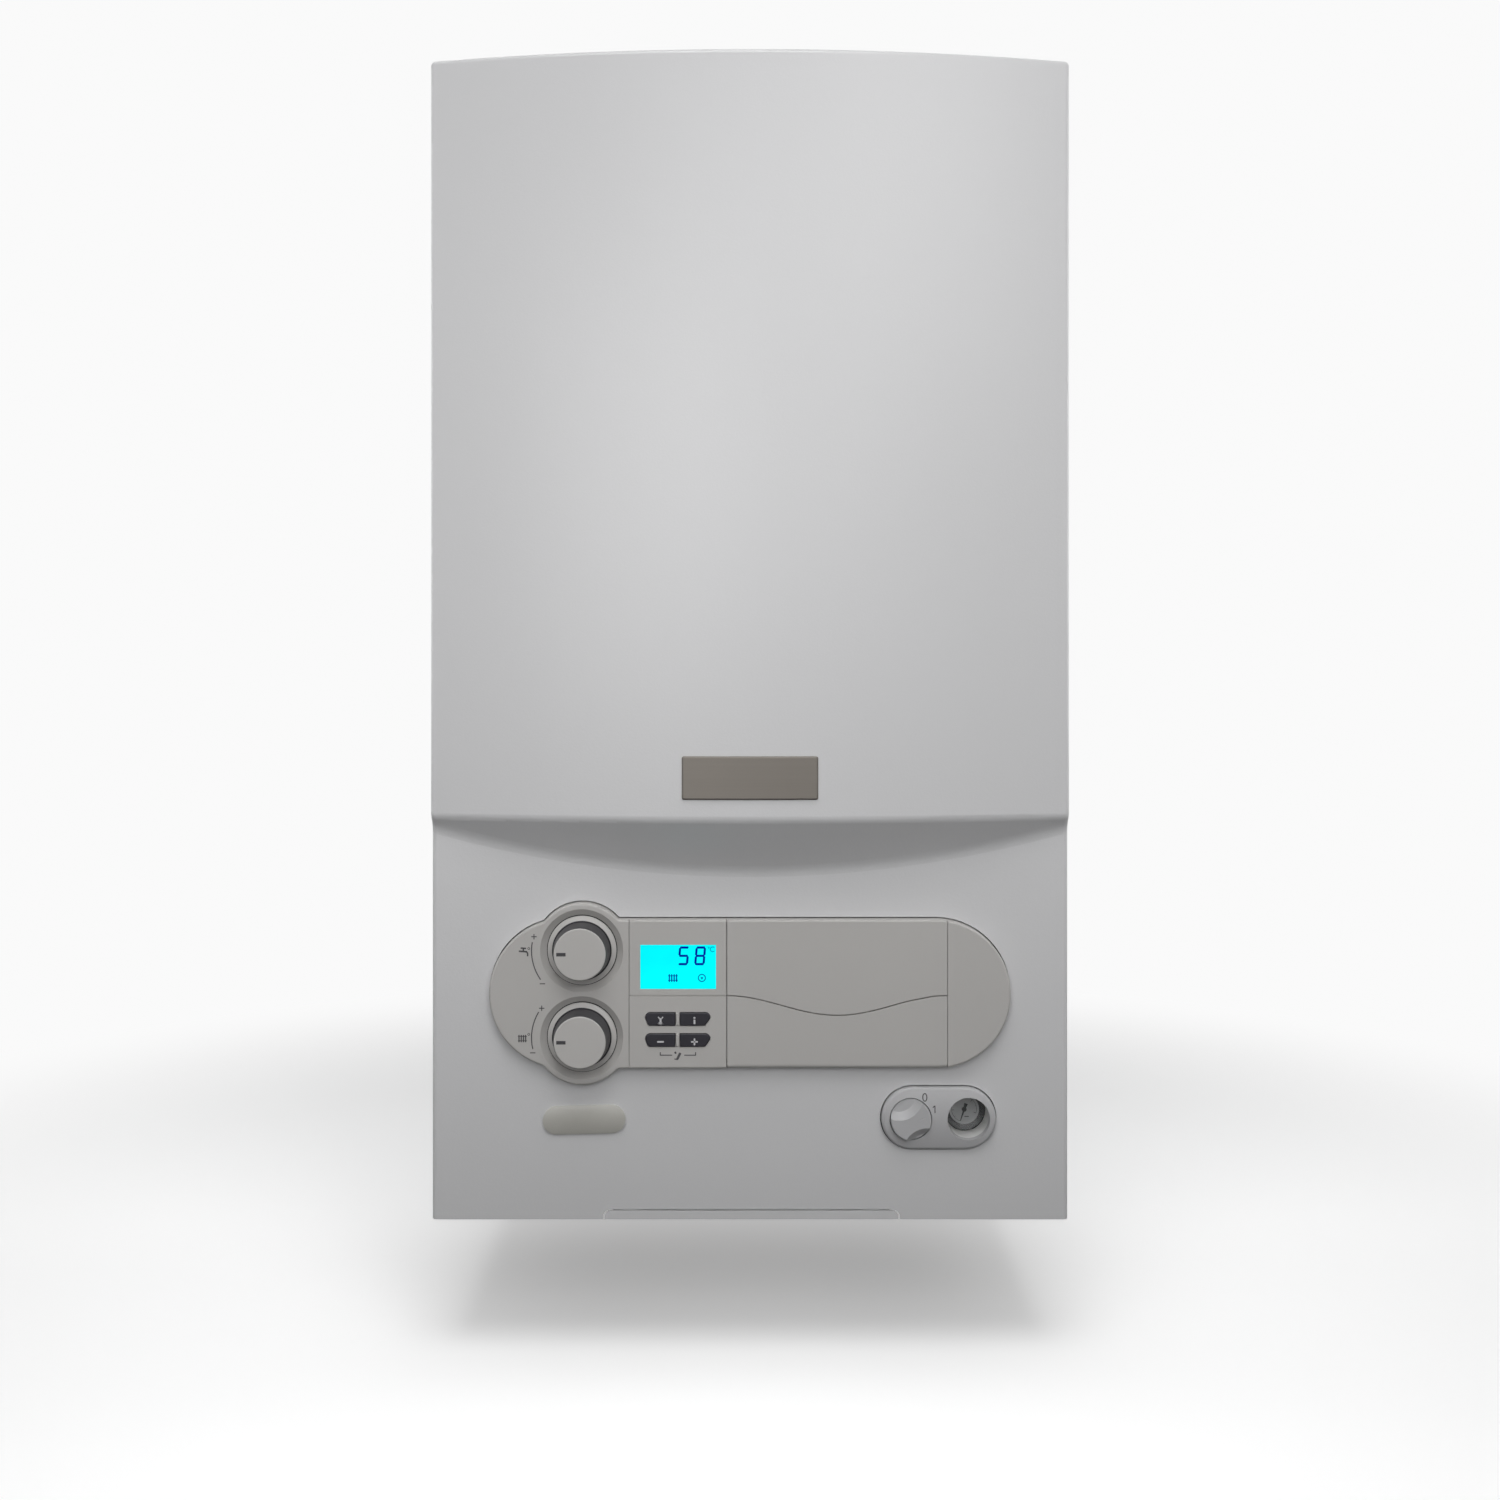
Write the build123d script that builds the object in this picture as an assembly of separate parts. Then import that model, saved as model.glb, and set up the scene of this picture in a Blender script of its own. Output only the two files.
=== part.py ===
from build123d import *
import math
import os

# A wall-hung combi boiler with a fan flue. Millimetres.
# X runs to the right as seen from the front, the wall is the plane Y = 0, the front faces -Y.
# Pieces are drawn with Z as the height above the casing's lower edge, and "depth" is the
# distance from the wall. The last step moves them down by HANG_HEIGHT, which puts the origin
# on the wall between the two screws of the wall bracket.

# ---------------------------------------------------------------- casing
CASING_W = 440.0
CASING_H = 800.0
BOX_DEPTH = 296.0         # wall to the front of the control box, which carries the fascia
FACE_DEPTH = BOX_DEPTH + 9.0     # wall to the flat control face
CORNER_DEPTH = FACE_DEPTH + 6.0  # wall to the upper front at its vertical edges
BOW = 27.0                # how far the upper front swells beyond those edges
LIP_HEIGHT = 279.0        # where the bowed front ends
FACET_SLOPE = 41.3        # degrees from vertical, facet between lip and control face
LIP_RADIUS = 8.0
FOLD_RADIUS = 12.0
EDGE_RADIUS = 3.5
CASING_WALL = 1.5
RETURN = 80.0             # depth of the front casing's side and top returns
SEAM = 0.8                # gap between neighbouring casing pieces
SHEET = 1.2               # chassis sheet

# ---------------------------------------------------------------- hanging and chassis
HANG_HEIGHT = 700.0       # screws of the wall bracket above the lower edge
SCREW_SPACING = 240.0
SCREW_HOLE_R = 4.2
BRACKET_W = 300.0
BRACKET_H = 50.0
BRACKET_T = 3.0
HOOK_X = 60.0
HOOK_W = 20.0
HOOK_T = 4.0
HOOK_RISE = 12.0          # upturned end of a hook, and height of its slot in the back frame
HOOK_END_T = 2.5
HOOK_PLAY = 0.5
WEB_DEPTH = 14.0          # back frame's web stands off the wall
PLATE_HEIGHT = 12.0       # underside of the pipe plate
PANEL_FLANGE = 20.0
BACK_OPENING_X = (30.0, 190.0)   # service openings in the back frame, left and right alike
BACK_OPENING_Z = (130.0, 310.0)
LIP_X = 150.0             # half width of the pipe plate's front flange
LIP_BEHIND = 17.0         # that flange behind the control face

# ---------------------------------------------------------------- control fascia
FASCIA_W = 359.0
FASCIA_H = 102.4
FASCIA_Z = 157.4
FASCIA_PROUD = 8.0        # how far the fascia stands out of the control face
FASCIA_EDGE = 1.6         # rounding of its front edge
HINGE_R = 3.0             # radius of the flap's lower edge, round its hinge
CUTOUT_GAP = 0.8
MOULDING = 2.5            # wall of the plastic mouldings
LAYER = 3.0               # thickness of the covers let into the fascia
COVER_GAP = 0.4           # half the seam between two covers
BUMP_R = 32.7
NOTCH_R = 3.0
KNOB_X = -115.7
KNOB_PITCH = 59.8
DISH_R = 28.6
DISH_SINK = 4.0
DISH_GAP = 0.7            # between the dish's floor edge and the skirt
SKIRT_R = 23.7
SKIRT_T = 3.0
SKIRT_SLOPE = 1.6         # how far the skirt's front falls away towards its rim
CAP_BASE_R = 19.7
CAP_FACE_R = 17.9
CAP_H = 16.0
CAP_EDGE = 1.2
MARK_IN = 2.0             # pointer groove inside the cap's edge
MARK_L = 6.4
MARK_W = 2.5
MARK_SINK = 0.5
SHAFT_R = 3.0
SHAFT_END = 1.5           # shafts stop this far ahead of the control box
SLIP = 0.3                # radial gap of turning and sliding fits
DISPLAY_X = (-83.3, -16.0)
COVER_RIGHT = 136.1
WINDOW_W = 52.2
WINDOW_H = 30.5
WINDOW_X = -49.4
WINDOW_Z = 176.2
WINDOW_SINK = 0.8         # window and groove behind the fascia's face
WINDOW_GAP = 0.1
CELL_SEAM_Z = 156.5
BUTTON_ROWS = (140.5, 126.0)
BUTTON_H = 9.0
BUTTON_LEFT = (-71.9, -51.4)
BUTTON_RIGHT = (-48.1, -27.4)
BUTTON_NOSE = 0.6         # height of a button's outermost point over its middle
BUTTON_SLANT = (1.9, 3.5) # how far the lower outer corner is drawn in, left and right
BUTTON_CORNERS = (3.4, 1.5, 2.2)  # radii of the upper outer corner, the nose and the lower corner
BUTTON_PROUD = 1.0
DIVIDER_W = 2.3           # raised bar between the two buttons of a row
DIVIDER_H = 8.4
BUTTON_EDGE = 0.6
BUTTON_RIM = 1.0
BUTTON_RIM_T = 1.7
BUTTON_LIFT = 0.5         # rim behind the moulding
BUTTON_STEM_R = 2.0
BUTTON_TRAVEL = 1.4       # stem's gap to its switch
WAVE_HIGH = 156.5
WAVE_DIP = 13.5
BAY_SIDE = 10.0           # controller bay inside the ends of the flap
BAY_BOTTOM = 113.0
BAY_TOP = 139.0
BAY_WALL = 2.0
FLAP_GAP = 0.1
PIN_R = 1.2
PIN_LENGTH = 2.5

# ---------------------------------------------------------------- lower bezel, switch and gauge
BEZEL_W = 79.0
BEZEL_H = 43.0
BEZEL_X = 130.2
BEZEL_Z = 70.8
BEZEL_PROUD = 6.0
BEZEL_EDGE = 2.4
BEZEL_CROWN_R = 82.0      # the front is crowned from top to bottom
SWITCH_X = 110.8
SWITCH_R = 14.0
SWITCH_GAP = 0.6
SWITCH_PROUD = 9.0
GRIP_ANGLE = 26.5
SWITCH_EDGE = 1.0
SWITCH_MARK = (4.2, 9.0)  # line mark on the grip, inwards from the rim
SWITCH_MARK_W = 1.1
SWITCH_MARK_DROP = 2.3    # its distance below the knob's middle, across the grip
SCOOP_REACH = (19.1, -25.1)  # centres of the upper and lower scoop, across the grip
SCOOP_R = (12.3, 17.2)    # of a scoop's floor, and at the knob's face
SCOOP_SINK = 5.0
GAUGE_X = 150.7
GAUGE_R = 14.6
GAUGE_SEAT_DEPTH = BOX_DEPTH - 11.0
GAUGE_CASE_R = 17.0
TUNNEL_WALL = 1.8         # sight tube of the gauge, and collar round the switch knob
GAUGE_CASE_L = 23.0
GAUGE_PORT_L = 14.0
GAUGE_PORT_R = 5.0
DIAL_R = 10.6
DIAL_SINK = 2.2
NEEDLE_ANGLE = 18.0       # tip of the needle, left of straight down
NEEDLE_T = 0.6
NEEDLE_LIFT = 0.5         # needle above the dial
NEEDLE_PIN_R = 0.7
GAUGE_RIM_H = 1.4
LENS_T = 1.2

# ---------------------------------------------------------------- plates on the casing
NAMEPLATE_W = 92.0
NAMEPLATE_H = 29.4
NAMEPLATE_Z = 308.0
NAMEPLATE_T = 1.8
NAMEPLATE_CORNER = 1.5
GLUE = 0.05               # adhesive film under the nameplate
BADGE_W = 57.0
BADGE_H = 19.5
BADGE_X = -114.6
BADGE_Z = 69.5
BADGE_T = 3.0
BADGE_TILT = 1.5
BADGE_CROWN = 1.4
CAP_W = 203.8
CAP_X = 1.0
CAP_TOP = 6.2
CAP_CORNER = 5.0
CASING_SCREW_X = 40.0
CASING_SCREW_Z = 5.2
SCREW_R = 2.0
SCREW_HEAD_R = 3.2
SCREW_HEAD_T = 1.8
SCREW_L = 17.0
TAB_T = 1.5               # tab that holds the casing screws behind the access cap
TAB_BEHIND = 2.0          # its face behind the casing's inner face
TAB_SIDE = 15.0           # how far it runs past each screw
TAB_Z = (1.7, 20.0)
CAP_RETURN = 30.0         # how far the access cap runs back under the casing
CLIP_IN = 8.0
CLIP_W = 12.0
CLIP_T = 1.8
CLIP_RISE = 8.0

# ---------------------------------------------------------------- combustion side
CHAMBER_W = 380.0
CHAMBER_FLOOR = 330.0
CHAMBER_BACK = 70.0
CHAMBER_FRONT = 270.0
CHAMBER_FLANGE = 12.0
SEAL_T = 1.5
SWAGE_SIDE = 40.0         # stiffening swage of the chamber cover, from the cover's edges
SWAGE_FROM = (200.0, 60.0)
SWAGE_T = 5.0
SWAGE_EDGE = 4.0
COVER_SCREW_IN = 6.0
COVER_SCREW_R = 3.5
COVER_SCREWS = 4          # on each side of the chamber cover
MANIFOLD_AHEAD = 11.0     # gas manifold ahead of the combustion box
GLASS_X = 95.0
GLASS_Z = 440.0
GLASS_R = 12.0
HEARTH_W = 250.0
HEARTH_BACK = 95.0
HEARTH_FRONT = 245.0
HEARTH_FLOOR = 400.0
HEARTH_TOP = 520.0
HEARTH_WALL = 10.0
BURNER_H = 40.0
BURNER_WALL = 1.0
RACK_T = 4.0
BLADES = 12
NOZZLE_R = 3.0
MANIFOLD_LEG = 16.0       # from the manifold's middle down to the gas pipe
GAS_BEND = 16.0
ELECTRODE_X = 30.0
ELECTRODE_RISE = 12.0
ELECTRODE_R = 4.0
EXCHANGER_H = 65.0
EXCHANGER_WALL = 1.5
FINS = 24
FIN_T = 1.0
FIN_IN = 4.0              # the fins end this far inside the block's top and bottom
TUBES = 4
TUBE_R = 8.0
HEADER_W = 25.0
HOOD_TOP = 640.0
HOOD_W = 90.0
HOOD_D = 80.0             # depth of the hood's upper mouth
HOOD_BACK = 20.0          # its middle behind the flue
FAN_Z = 705.0
FAN_R = 65.0
FAN_HALF_D = 30.0         # half the depth of the fan drum
FAN_INLET_R = 32.0
FAN_INLET_D = 30.0        # inlet box behind the drum
FAN_INLET_RISE = 40.0
FAN_WHEEL_R = 52.0
FAN_VANES = 20
FAN_GAP = 6.0             # between the wheel and the drum's ends
FAN_VANE_W = 6.5
FAN_HUB_R = 8.0
FAN_HUB_L = 14.0
FAN_MOTOR_R = 35.0
FAN_MOTOR_L = 58.0
FAN_MOTOR_FOOT = 6.0
FLUE_DEPTH = 160.0
FLUE_R = 30.0
AIR_R = 50.0
FLUE_TOP = 842.0
AIR_TOP = 832.0
FLUE_SOCKET = 40.0       # length of the bore that takes the flue pipe
FLUE_SPIGOT = 25.0       # length of the sleeve over the fan outlet
FLUE_BASE = 65.0          # half the side of the adapter's base plate
FLUE_RIB_T = 1.6
FLUE_RIB_H = 12.0
TUBE_WALL = 1.5
SWITCH_BODY_R = 28.0      # air pressure switch on the chamber's right wall
SWITCH_BODY_T = 22.0
SWITCH_HEAD_T = 10.0
SWITCH_PORT_R = 2.5
SWITCH_PORT_PITCH = 16.0
VESSEL_W = 330.0
VESSEL_H = 340.0
VESSEL_Z = 520.0
VESSEL_BACK = 22.0
VESSEL_WALL = 1.5
VESSEL_ROUND = 12.0

# ---------------------------------------------------------------- water and gas side
PIPE_DEPTH = 110.0
PIPE_X = 130.0            # heating flow on the left, heating return on the right
TAP_X = 65.0              # hot water on the left, cold water on the right
HEATING_R = 11.0
TAP_R = 7.5
GAS_R = 9.0
PIPE_WALL = 1.0
STUB_BOTTOM = -42.0
NECK = 0.3               # the pipes are this much thinner above their connection stubs
NUT_H = 18.0
HEATING_FLATS = 32.0
TAP_FLATS = 24.0
GAS_FLATS = 28.0
RISER_X = 165.0
PUMP_Z = 90.0
PUMP_R = 45.0
PUMP_BACK = 20.0          # volute behind and ahead of the pipes' middle plane
PUMP_AHEAD = 25.0
PUMP_WALL = 7.0
PUMP_WHEEL_R = 32.0
PUMP_VANES = 6
PUMP_MOTOR_R = 40.0
PUMP_FLANGE_T = 8.0
PUMP_RIBS = 3
PUMP_RIB_T = 4.0
PUMP_RIB_PITCH = 10.0
TERMINAL_W = 56.0
PUMP_FRONT = BOX_DEPTH - 61.0
ROTOR_R = 20.0
VALVE_TOP = 150.0
HEX_W = 200.0
HEX_BOTTOM = 35.0
HEX_TOP = 110.0
HEX_BACK = 30.0
HEX_FRONT = 75.0
HEX_PLATES = 13
HEX_RIM = 1.5
HEX_END_T = 2.0
GROUP_BOTTOM = 20.0       # lower ports of the diverter valve and the pump
VALVE_R = 17.0
VALVE_FLATS = 38.0
VALVE_NUT_H = 14.0
CROSS_Z = 72.0            # cross pipe from the diverter valve to the riser
PORT_X = 80.0             # ports of the plate heat exchanger
PORT_Z = (42.0, 68.0)
DIVERTER_HEAD_R = 20.0
DIVERTER_HEAD_H = 42.0
VENT_SHIFT = 18.0         # air vent left of the pump's middle
VENT_R = 13.0
VENT_H = 34.0
VENT_RISE = 8.0
FLOW_PORT = 100.0
TAP_PORT = 55.0
RELIEF_X = 62.0
RELIEF_R = 12.0
RELIEF_L = 70.0           # front of the relief valve's body ahead of the pipes
RELIEF_ARM = 16.0
RELIEF_CLEAR = 6.0        # the full-size stub ends this far under the pipe plate
RELIEF_KNOB_R = 13.0
RELIEF_KNOB_L = 20.0
RELIEF_GROOVES = 12
GAS_VALVE_Z = 230.0
GAS_VALVE_H = 60.0
GAS_VALVE_W = 80.0
GAS_VALVE_DEPTH = (PIPE_DEPTH - 28.0, PIPE_DEPTH + 36.0)
COIL_X = 19.0
COIL_R = 15.0
COIL_L = 34.0
GLAND_X = CASING_W / 2 - 35.0
GLAND_DEPTH = 60.0
GLAND_BORE_R = 4.0
GLAND_R = 10.0
GLAND_FLATS = 26.0
GLAND_INSIDE = 14.0       # its thread above the pipe plate
GLAND_CONE_H = 10.0
RELIEF_DEPTH = PIPE_DEPTH + 40.0

# ---------------------------------------------------------------- control box
BOX_HALF_W = 185.0
BOX_BOTTOM = 98.0
BOX_TOP = 224.0
BOX_BACK = BOX_DEPTH - 56.0
BOX_WALL = 2.0
EAR_IN = 20.0             # ears on the side panels' flanges, inside the box's top and bottom
EAR_GAP = 5.0
BOARD_T = 1.6
BOARD_BOTTOM = 112.0
SCREEN_W = 36.0
SCREEN_H = 20.0
KEY_SWITCH = 6.0          # side of the small switch behind each button
KEY_SWITCH_T = 5.0
POWER_BOARD_X = (-150.0, 120.0)
POWER_BOARD_BEHIND = 10.0
CONTROL_T = 7.0           # potentiometers and mains switch in front of the control box
CONTROL_R = 10.0
LOBE_X = (85.0, 180.0)
LOBE_BOTTOM = 44.0

# ---------------------------------------------------------------- worked out
half_w = CASING_W / 2
casing_back = CORNER_DEPTH - RETURN
panel_front = casing_back - SEAM
bow_radius = (half_w ** 2 + BOW ** 2) / (2 * BOW)
bow_axis_y = bow_radius - (CORNER_DEPTH + BOW)
fascia_front = FACE_DEPTH + FASCIA_PROUD
layer_back = fascia_front - LAYER
knob_heights = (FASCIA_Z + KNOB_PITCH / 2, FASCIA_Z - KNOB_PITCH / 2)
dish_floor = fascia_front - DISH_SINK
skirt_back = dish_floor + SLIP
hinge_z = FASCIA_Z - FASCIA_H / 2 + HINGE_R
hinge_depth = fascia_front - HINGE_R
control_depth = BOX_DEPTH + CONTROL_T
plate_top = PLATE_HEIGHT + CASING_WALL
web_front = WEB_DEPTH + SHEET
exchanger_top = HEARTH_TOP + EXCHANGER_H
tube_z = HEARTH_TOP + EXCHANGER_H / 2


# ---------------------------------------------------------------- small helpers
def block(x, depth, z):
    """A box from three (low, high) pairs; depth is counted from the wall towards the front."""
    centre = (sum(x) / 2, -sum(depth) / 2, sum(z) / 2)
    return Pos(*centre) * Box(x[1] - x[0], depth[1] - depth[0], z[1] - z[0])


def rod_y(x, z, radius, depth):
    """A cylinder that points at the viewer, between two depths."""
    return Pos(x, -sum(depth) / 2, z) * Rot(90, 0, 0) * Cylinder(radius, depth[1] - depth[0])


def rod_x(depth, z, radius, x):
    """A cylinder along the width."""
    return Pos(sum(x) / 2, -depth, z) * Rot(0, 90, 0) * Cylinder(radius, x[1] - x[0])


def rod_z(x, depth, radius, z):
    """An upright cylinder."""
    return Pos(x, -depth, sum(z) / 2) * Cylinder(radius, z[1] - z[0])


def front_slab(outline, depth):
    """Extrude an outline drawn in x and height between two depths."""
    return extrude(Plane.XZ.offset(depth[0]) * outline, amount=depth[1] - depth[0])


def pipe(points, radius, bend):
    """A thin-walled pipe along straight runs joined by bends."""
    route = FilletPolyline(*points, radius=bend) if bend else Line(*points)
    wall = Circle(radius) - Circle(radius - PIPE_WALL)
    return sweep(Plane(origin=route @ 0, z_dir=route % 0) * wall, path=route)


def hexagon(x, depth, across_flats, z):
    nut = RegularPolygon(across_flats / 2, 6, major_radius=False)
    return Pos(x, -depth, z[0]) * extrude(nut, amount=z[1] - z[0])


# ---------------------------------------------------------------- casing pieces
def casing_form(inset):
    """The casing's outer form, or the same form drawn in by one wall."""
    slope = math.tan(math.radians(FACET_SLOPE))
    drop = (CORNER_DEPTH + BOW - FACE_DEPTH) / slope + 3 * FOLD_RADIUS
    front = bow_axis_y + bow_radius
    inner = front - 2 * CORNER_DEPTH
    outline = make_face(Polyline(
        (inner, LIP_HEIGHT - drop), (front - drop * slope, LIP_HEIGHT - drop),
        (front, LIP_HEIGHT), (front, CASING_H), (inner, CASING_H), close=True))
    lip = outline.vertices().sort_by_distance((front, LIP_HEIGHT, 0))[0]
    outline = fillet([lip], LIP_RADIUS)
    if inset:
        outline = offset(outline, amount=-inset)
    turned = revolve(Plane.YZ * outline, Axis((0, bow_axis_y, 0), (0, 0, 1)), 360)
    width = (-half_w + inset, half_w - inset)
    back = casing_back - 10 * inset
    low = -10 * inset
    upper = turned & block(width, (back, CORNER_DEPTH + 2 * BOW), (low, CASING_H))
    form = upper + block(width, (back, FACE_DEPTH - inset), (low, LIP_HEIGHT))

    def box(edge):
        return edge.bounding_box()

    face_y = -(FACE_DEPTH - inset)
    folds = [e for e in form.edges() if box(e).size.X > half_w and box(e).size.Y < 0.01
             and abs(box(e).min.Y - face_y) < 0.01 and box(e).max.Z > LIP_HEIGHT / 2]
    form = fillet(folds, FOLD_RADIUS + inset)
    top_z = CASING_H - inset
    rims = []
    for edge in form.edges():
        spans_depth = box(edge).min.Y < face_y + 1
        upright = abs(edge.center().X) > width[1] - 0.5 and box(edge).max.Y < face_y + 1
        along_top = abs(edge.center().Z - top_z) < 0.01 and box(edge).size.Z < 0.01
        if spans_depth and (upright or along_top):
            rims.append(edge)
    return fillet(rims, EDGE_RADIUS - inset)


def fascia_outline(grow=0.0):
    """Stadium with the two round knob bumps, optionally grown for the casing's cut-out."""
    outline = Pos(0, FASCIA_Z) * SlotOverall(FASCIA_W, FASCIA_H)
    for z in knob_heights:
        outline += Pos(KNOB_X, z) * Circle(BUMP_R)
    notches = []
    for vertex in outline.vertices():
        reach = [math.hypot(vertex.X - KNOB_X, vertex.Y - z) for z in knob_heights]
        if min(abs(r - BUMP_R) for r in reach) < 0.01:
            notches.append(vertex)
    outline = fillet(notches, NOTCH_R)
    return offset(outline, amount=grow) if grow else outline


def bezel_outline(grow=0.0):
    return Pos(BEZEL_X, BEZEL_Z) * SlotOverall(BEZEL_W + 2 * grow, BEZEL_H + 2 * grow)


def cap_outline(grow=0.0):
    """Front of the lower access cap, with arched top corners."""
    side = CAP_W / 2 + grow
    top = CAP_TOP + grow
    tall = Pos(CAP_X, 0) * Rectangle(2 * side, 2 * top)
    upper = [v for v in tall.vertices() if v.Y > 0]
    arched = fillet(upper, CAP_CORNER + grow)
    return arched & (Pos(CAP_X, CASING_H / 2) * Rectangle(2 * CASING_W, CASING_H))


def front_casing():
    shell = casing_form(0) - casing_form(CASING_WALL)
    through = (FACE_DEPTH - 3 * FASCIA_PROUD, FACE_DEPTH + 3 * FASCIA_PROUD)
    shell -= front_slab(fascia_outline(CUTOUT_GAP), through)
    shell -= front_slab(bezel_outline(CUTOUT_GAP), through)
    shell -= front_slab(cap_outline(CUTOUT_GAP), through)
    inside = FACE_DEPTH - CASING_WALL
    tab_x = (-CASING_SCREW_X - TAB_SIDE, CASING_SCREW_X + TAB_SIDE)
    tab_depth = (inside - TAB_BEHIND - TAB_T, inside - TAB_BEHIND)
    over_heads = max(CAP_TOP + TAB_BEHIND, CASING_SCREW_Z + SCREW_HEAD_R + SLIP)
    shell += block(tab_x, (tab_depth[0], inside), (over_heads, TAB_Z[1]))
    shell += block(tab_x, tab_depth, TAB_Z)
    for x in (-CASING_SCREW_X, CASING_SCREW_X):
        shell -= rod_y(x, CASING_SCREW_Z, SCREW_R + SLIP, (tab_depth[0] - 1, tab_depth[1] + 1))
    return shell


def casing_screws():
    """Two captive screws behind the access cap."""
    seat = FACE_DEPTH - CASING_WALL - TAB_BEHIND
    screws = []
    for x in (-CASING_SCREW_X, CASING_SCREW_X):
        screw = rod_y(x, CASING_SCREW_Z, SCREW_HEAD_R, (seat, seat + SCREW_HEAD_T))
        screw += rod_y(x, CASING_SCREW_Z, SCREW_R, (seat - SCREW_L, seat))
        screws.append(screw)
    return Compound(children=screws)


def bottom_access_cap():
    inside = FACE_DEPTH - CASING_WALL
    cap = front_slab(cap_outline(), (inside, FACE_DEPTH))
    side = CAP_W / 2 - CAP_CORNER
    cap += block((CAP_X - side, CAP_X + side), (FACE_DEPTH - CAP_RETURN, FACE_DEPTH),
                 (0, CASING_WALL))
    for sign in (-1, 1):
        x = sorted((CAP_X + sign * (side - CLIP_IN - CLIP_W), CAP_X + sign * (side - CLIP_IN)))
        cap += block(x, (inside - CLIP_T, inside), (1, CAP_TOP + CLIP_RISE))
    return cap


def nameplate():
    """Bevelled blank plate that follows the bow of the front."""
    reach = CORNER_DEPTH + BOW
    outline = RectangleRounded(NAMEPLATE_W, NAMEPLATE_H, NAMEPLATE_CORNER)
    plate = front_slab(Pos(0, NAMEPLATE_Z) * outline, (CORNER_DEPTH, reach + 2 * NAMEPLATE_T))
    tall = 2 * NAMEPLATE_H
    plate &= Pos(0, bow_axis_y, NAMEPLATE_Z) * Cylinder(bow_radius + NAMEPLATE_T, tall)
    plate -= Pos(0, bow_axis_y, NAMEPLATE_Z) * Cylinder(bow_radius + GLUE, tall)
    front = plate.faces().sort_by(Axis.Y)[0]
    return chamfer(front.edges(), NAMEPLATE_T * 0.6)


def model_badge():
    """Blank pill-shaped badge, crowned across its height."""
    outline = Pos(BADGE_X, BADGE_Z) * Rot(0, 0, BADGE_TILT) * SlotOverall(BADGE_W, BADGE_H)
    pill = front_slab(outline, (FACE_DEPTH, FACE_DEPTH + BADGE_T))
    crown_r = ((BADGE_H / 2) ** 2 + BADGE_CROWN ** 2) / (2 * BADGE_CROWN)
    crown = Rot(0, 90, 0) * Cylinder(crown_r, 2 * BADGE_W)
    place = Pos(BADGE_X, -(FACE_DEPTH + BADGE_T - crown_r), BADGE_Z) * Rot(0, -BADGE_TILT, 0)
    return pill & (place * crown)


# ---------------------------------------------------------------- chassis
def back_frame():
    side = half_w - SHEET
    z = (plate_top, CASING_H - CASING_WALL)
    frame = block((-side, side), (WEB_DEPTH, web_front), z)
    for sign in (-1, 1):
        x = sorted((sign * side, sign * (side - SHEET)))
        frame += block(x, (0, web_front), z)
        reach = HOOK_W / 2 + 2 * HOOK_PLAY
        hook = (sign * HOOK_X - reach, sign * HOOK_X + reach)
        top = HANG_HEIGHT + BRACKET_H / 2
        frame -= block(hook, (0, 2 * WEB_DEPTH), (top - HOOK_RISE, top))
        opening = sorted(sign * edge for edge in BACK_OPENING_X)
        frame -= block(opening, (WEB_DEPTH - 1, web_front + 1), BACK_OPENING_Z)
    return frame


def wall_bracket():
    """Flat bar screwed to the wall, with two upturned hooks that carry the back frame."""
    low, top = HANG_HEIGHT - BRACKET_H / 2, HANG_HEIGHT + BRACKET_H / 2
    bar = block((-BRACKET_W / 2, BRACKET_W / 2), (0, BRACKET_T), (low, top))
    for sign in (-1, 1):
        bar -= rod_y(sign * SCREW_SPACING / 2, HANG_HEIGHT, SCREW_HOLE_R, (-1, BRACKET_T + 1))
        x = (sign * HOOK_X - HOOK_W / 2, sign * HOOK_X + HOOK_W / 2)
        hook_back = web_front + HOOK_PLAY
        bar += block(x, (0, hook_back + HOOK_END_T), (top - HOOK_T, top))
        bar += block(x, (hook_back, hook_back + HOOK_END_T), (top - HOOK_T, top + HOOK_RISE))
    return bar


def side_panel(sign):
    """Sheet panel with an inward front flange."""
    panel = block(sorted((sign * half_w, sign * (half_w - SHEET))), (0, panel_front), (0, CASING_H))
    inner = sorted((sign * half_w, sign * (half_w - PANEL_FLANGE)))
    z = (plate_top + SEAM, CASING_H - CASING_WALL - SEAM)
    return panel + block(inner, (panel_front - SHEET, panel_front), z)


def top_plate():
    side = half_w - SHEET
    plate = block((-side, side), (0, panel_front), (CASING_H - CASING_WALL, CASING_H))
    return plate - rod_z(0, FLUE_DEPTH, AIR_R, (CASING_H - 5, CASING_H + 5))


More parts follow.
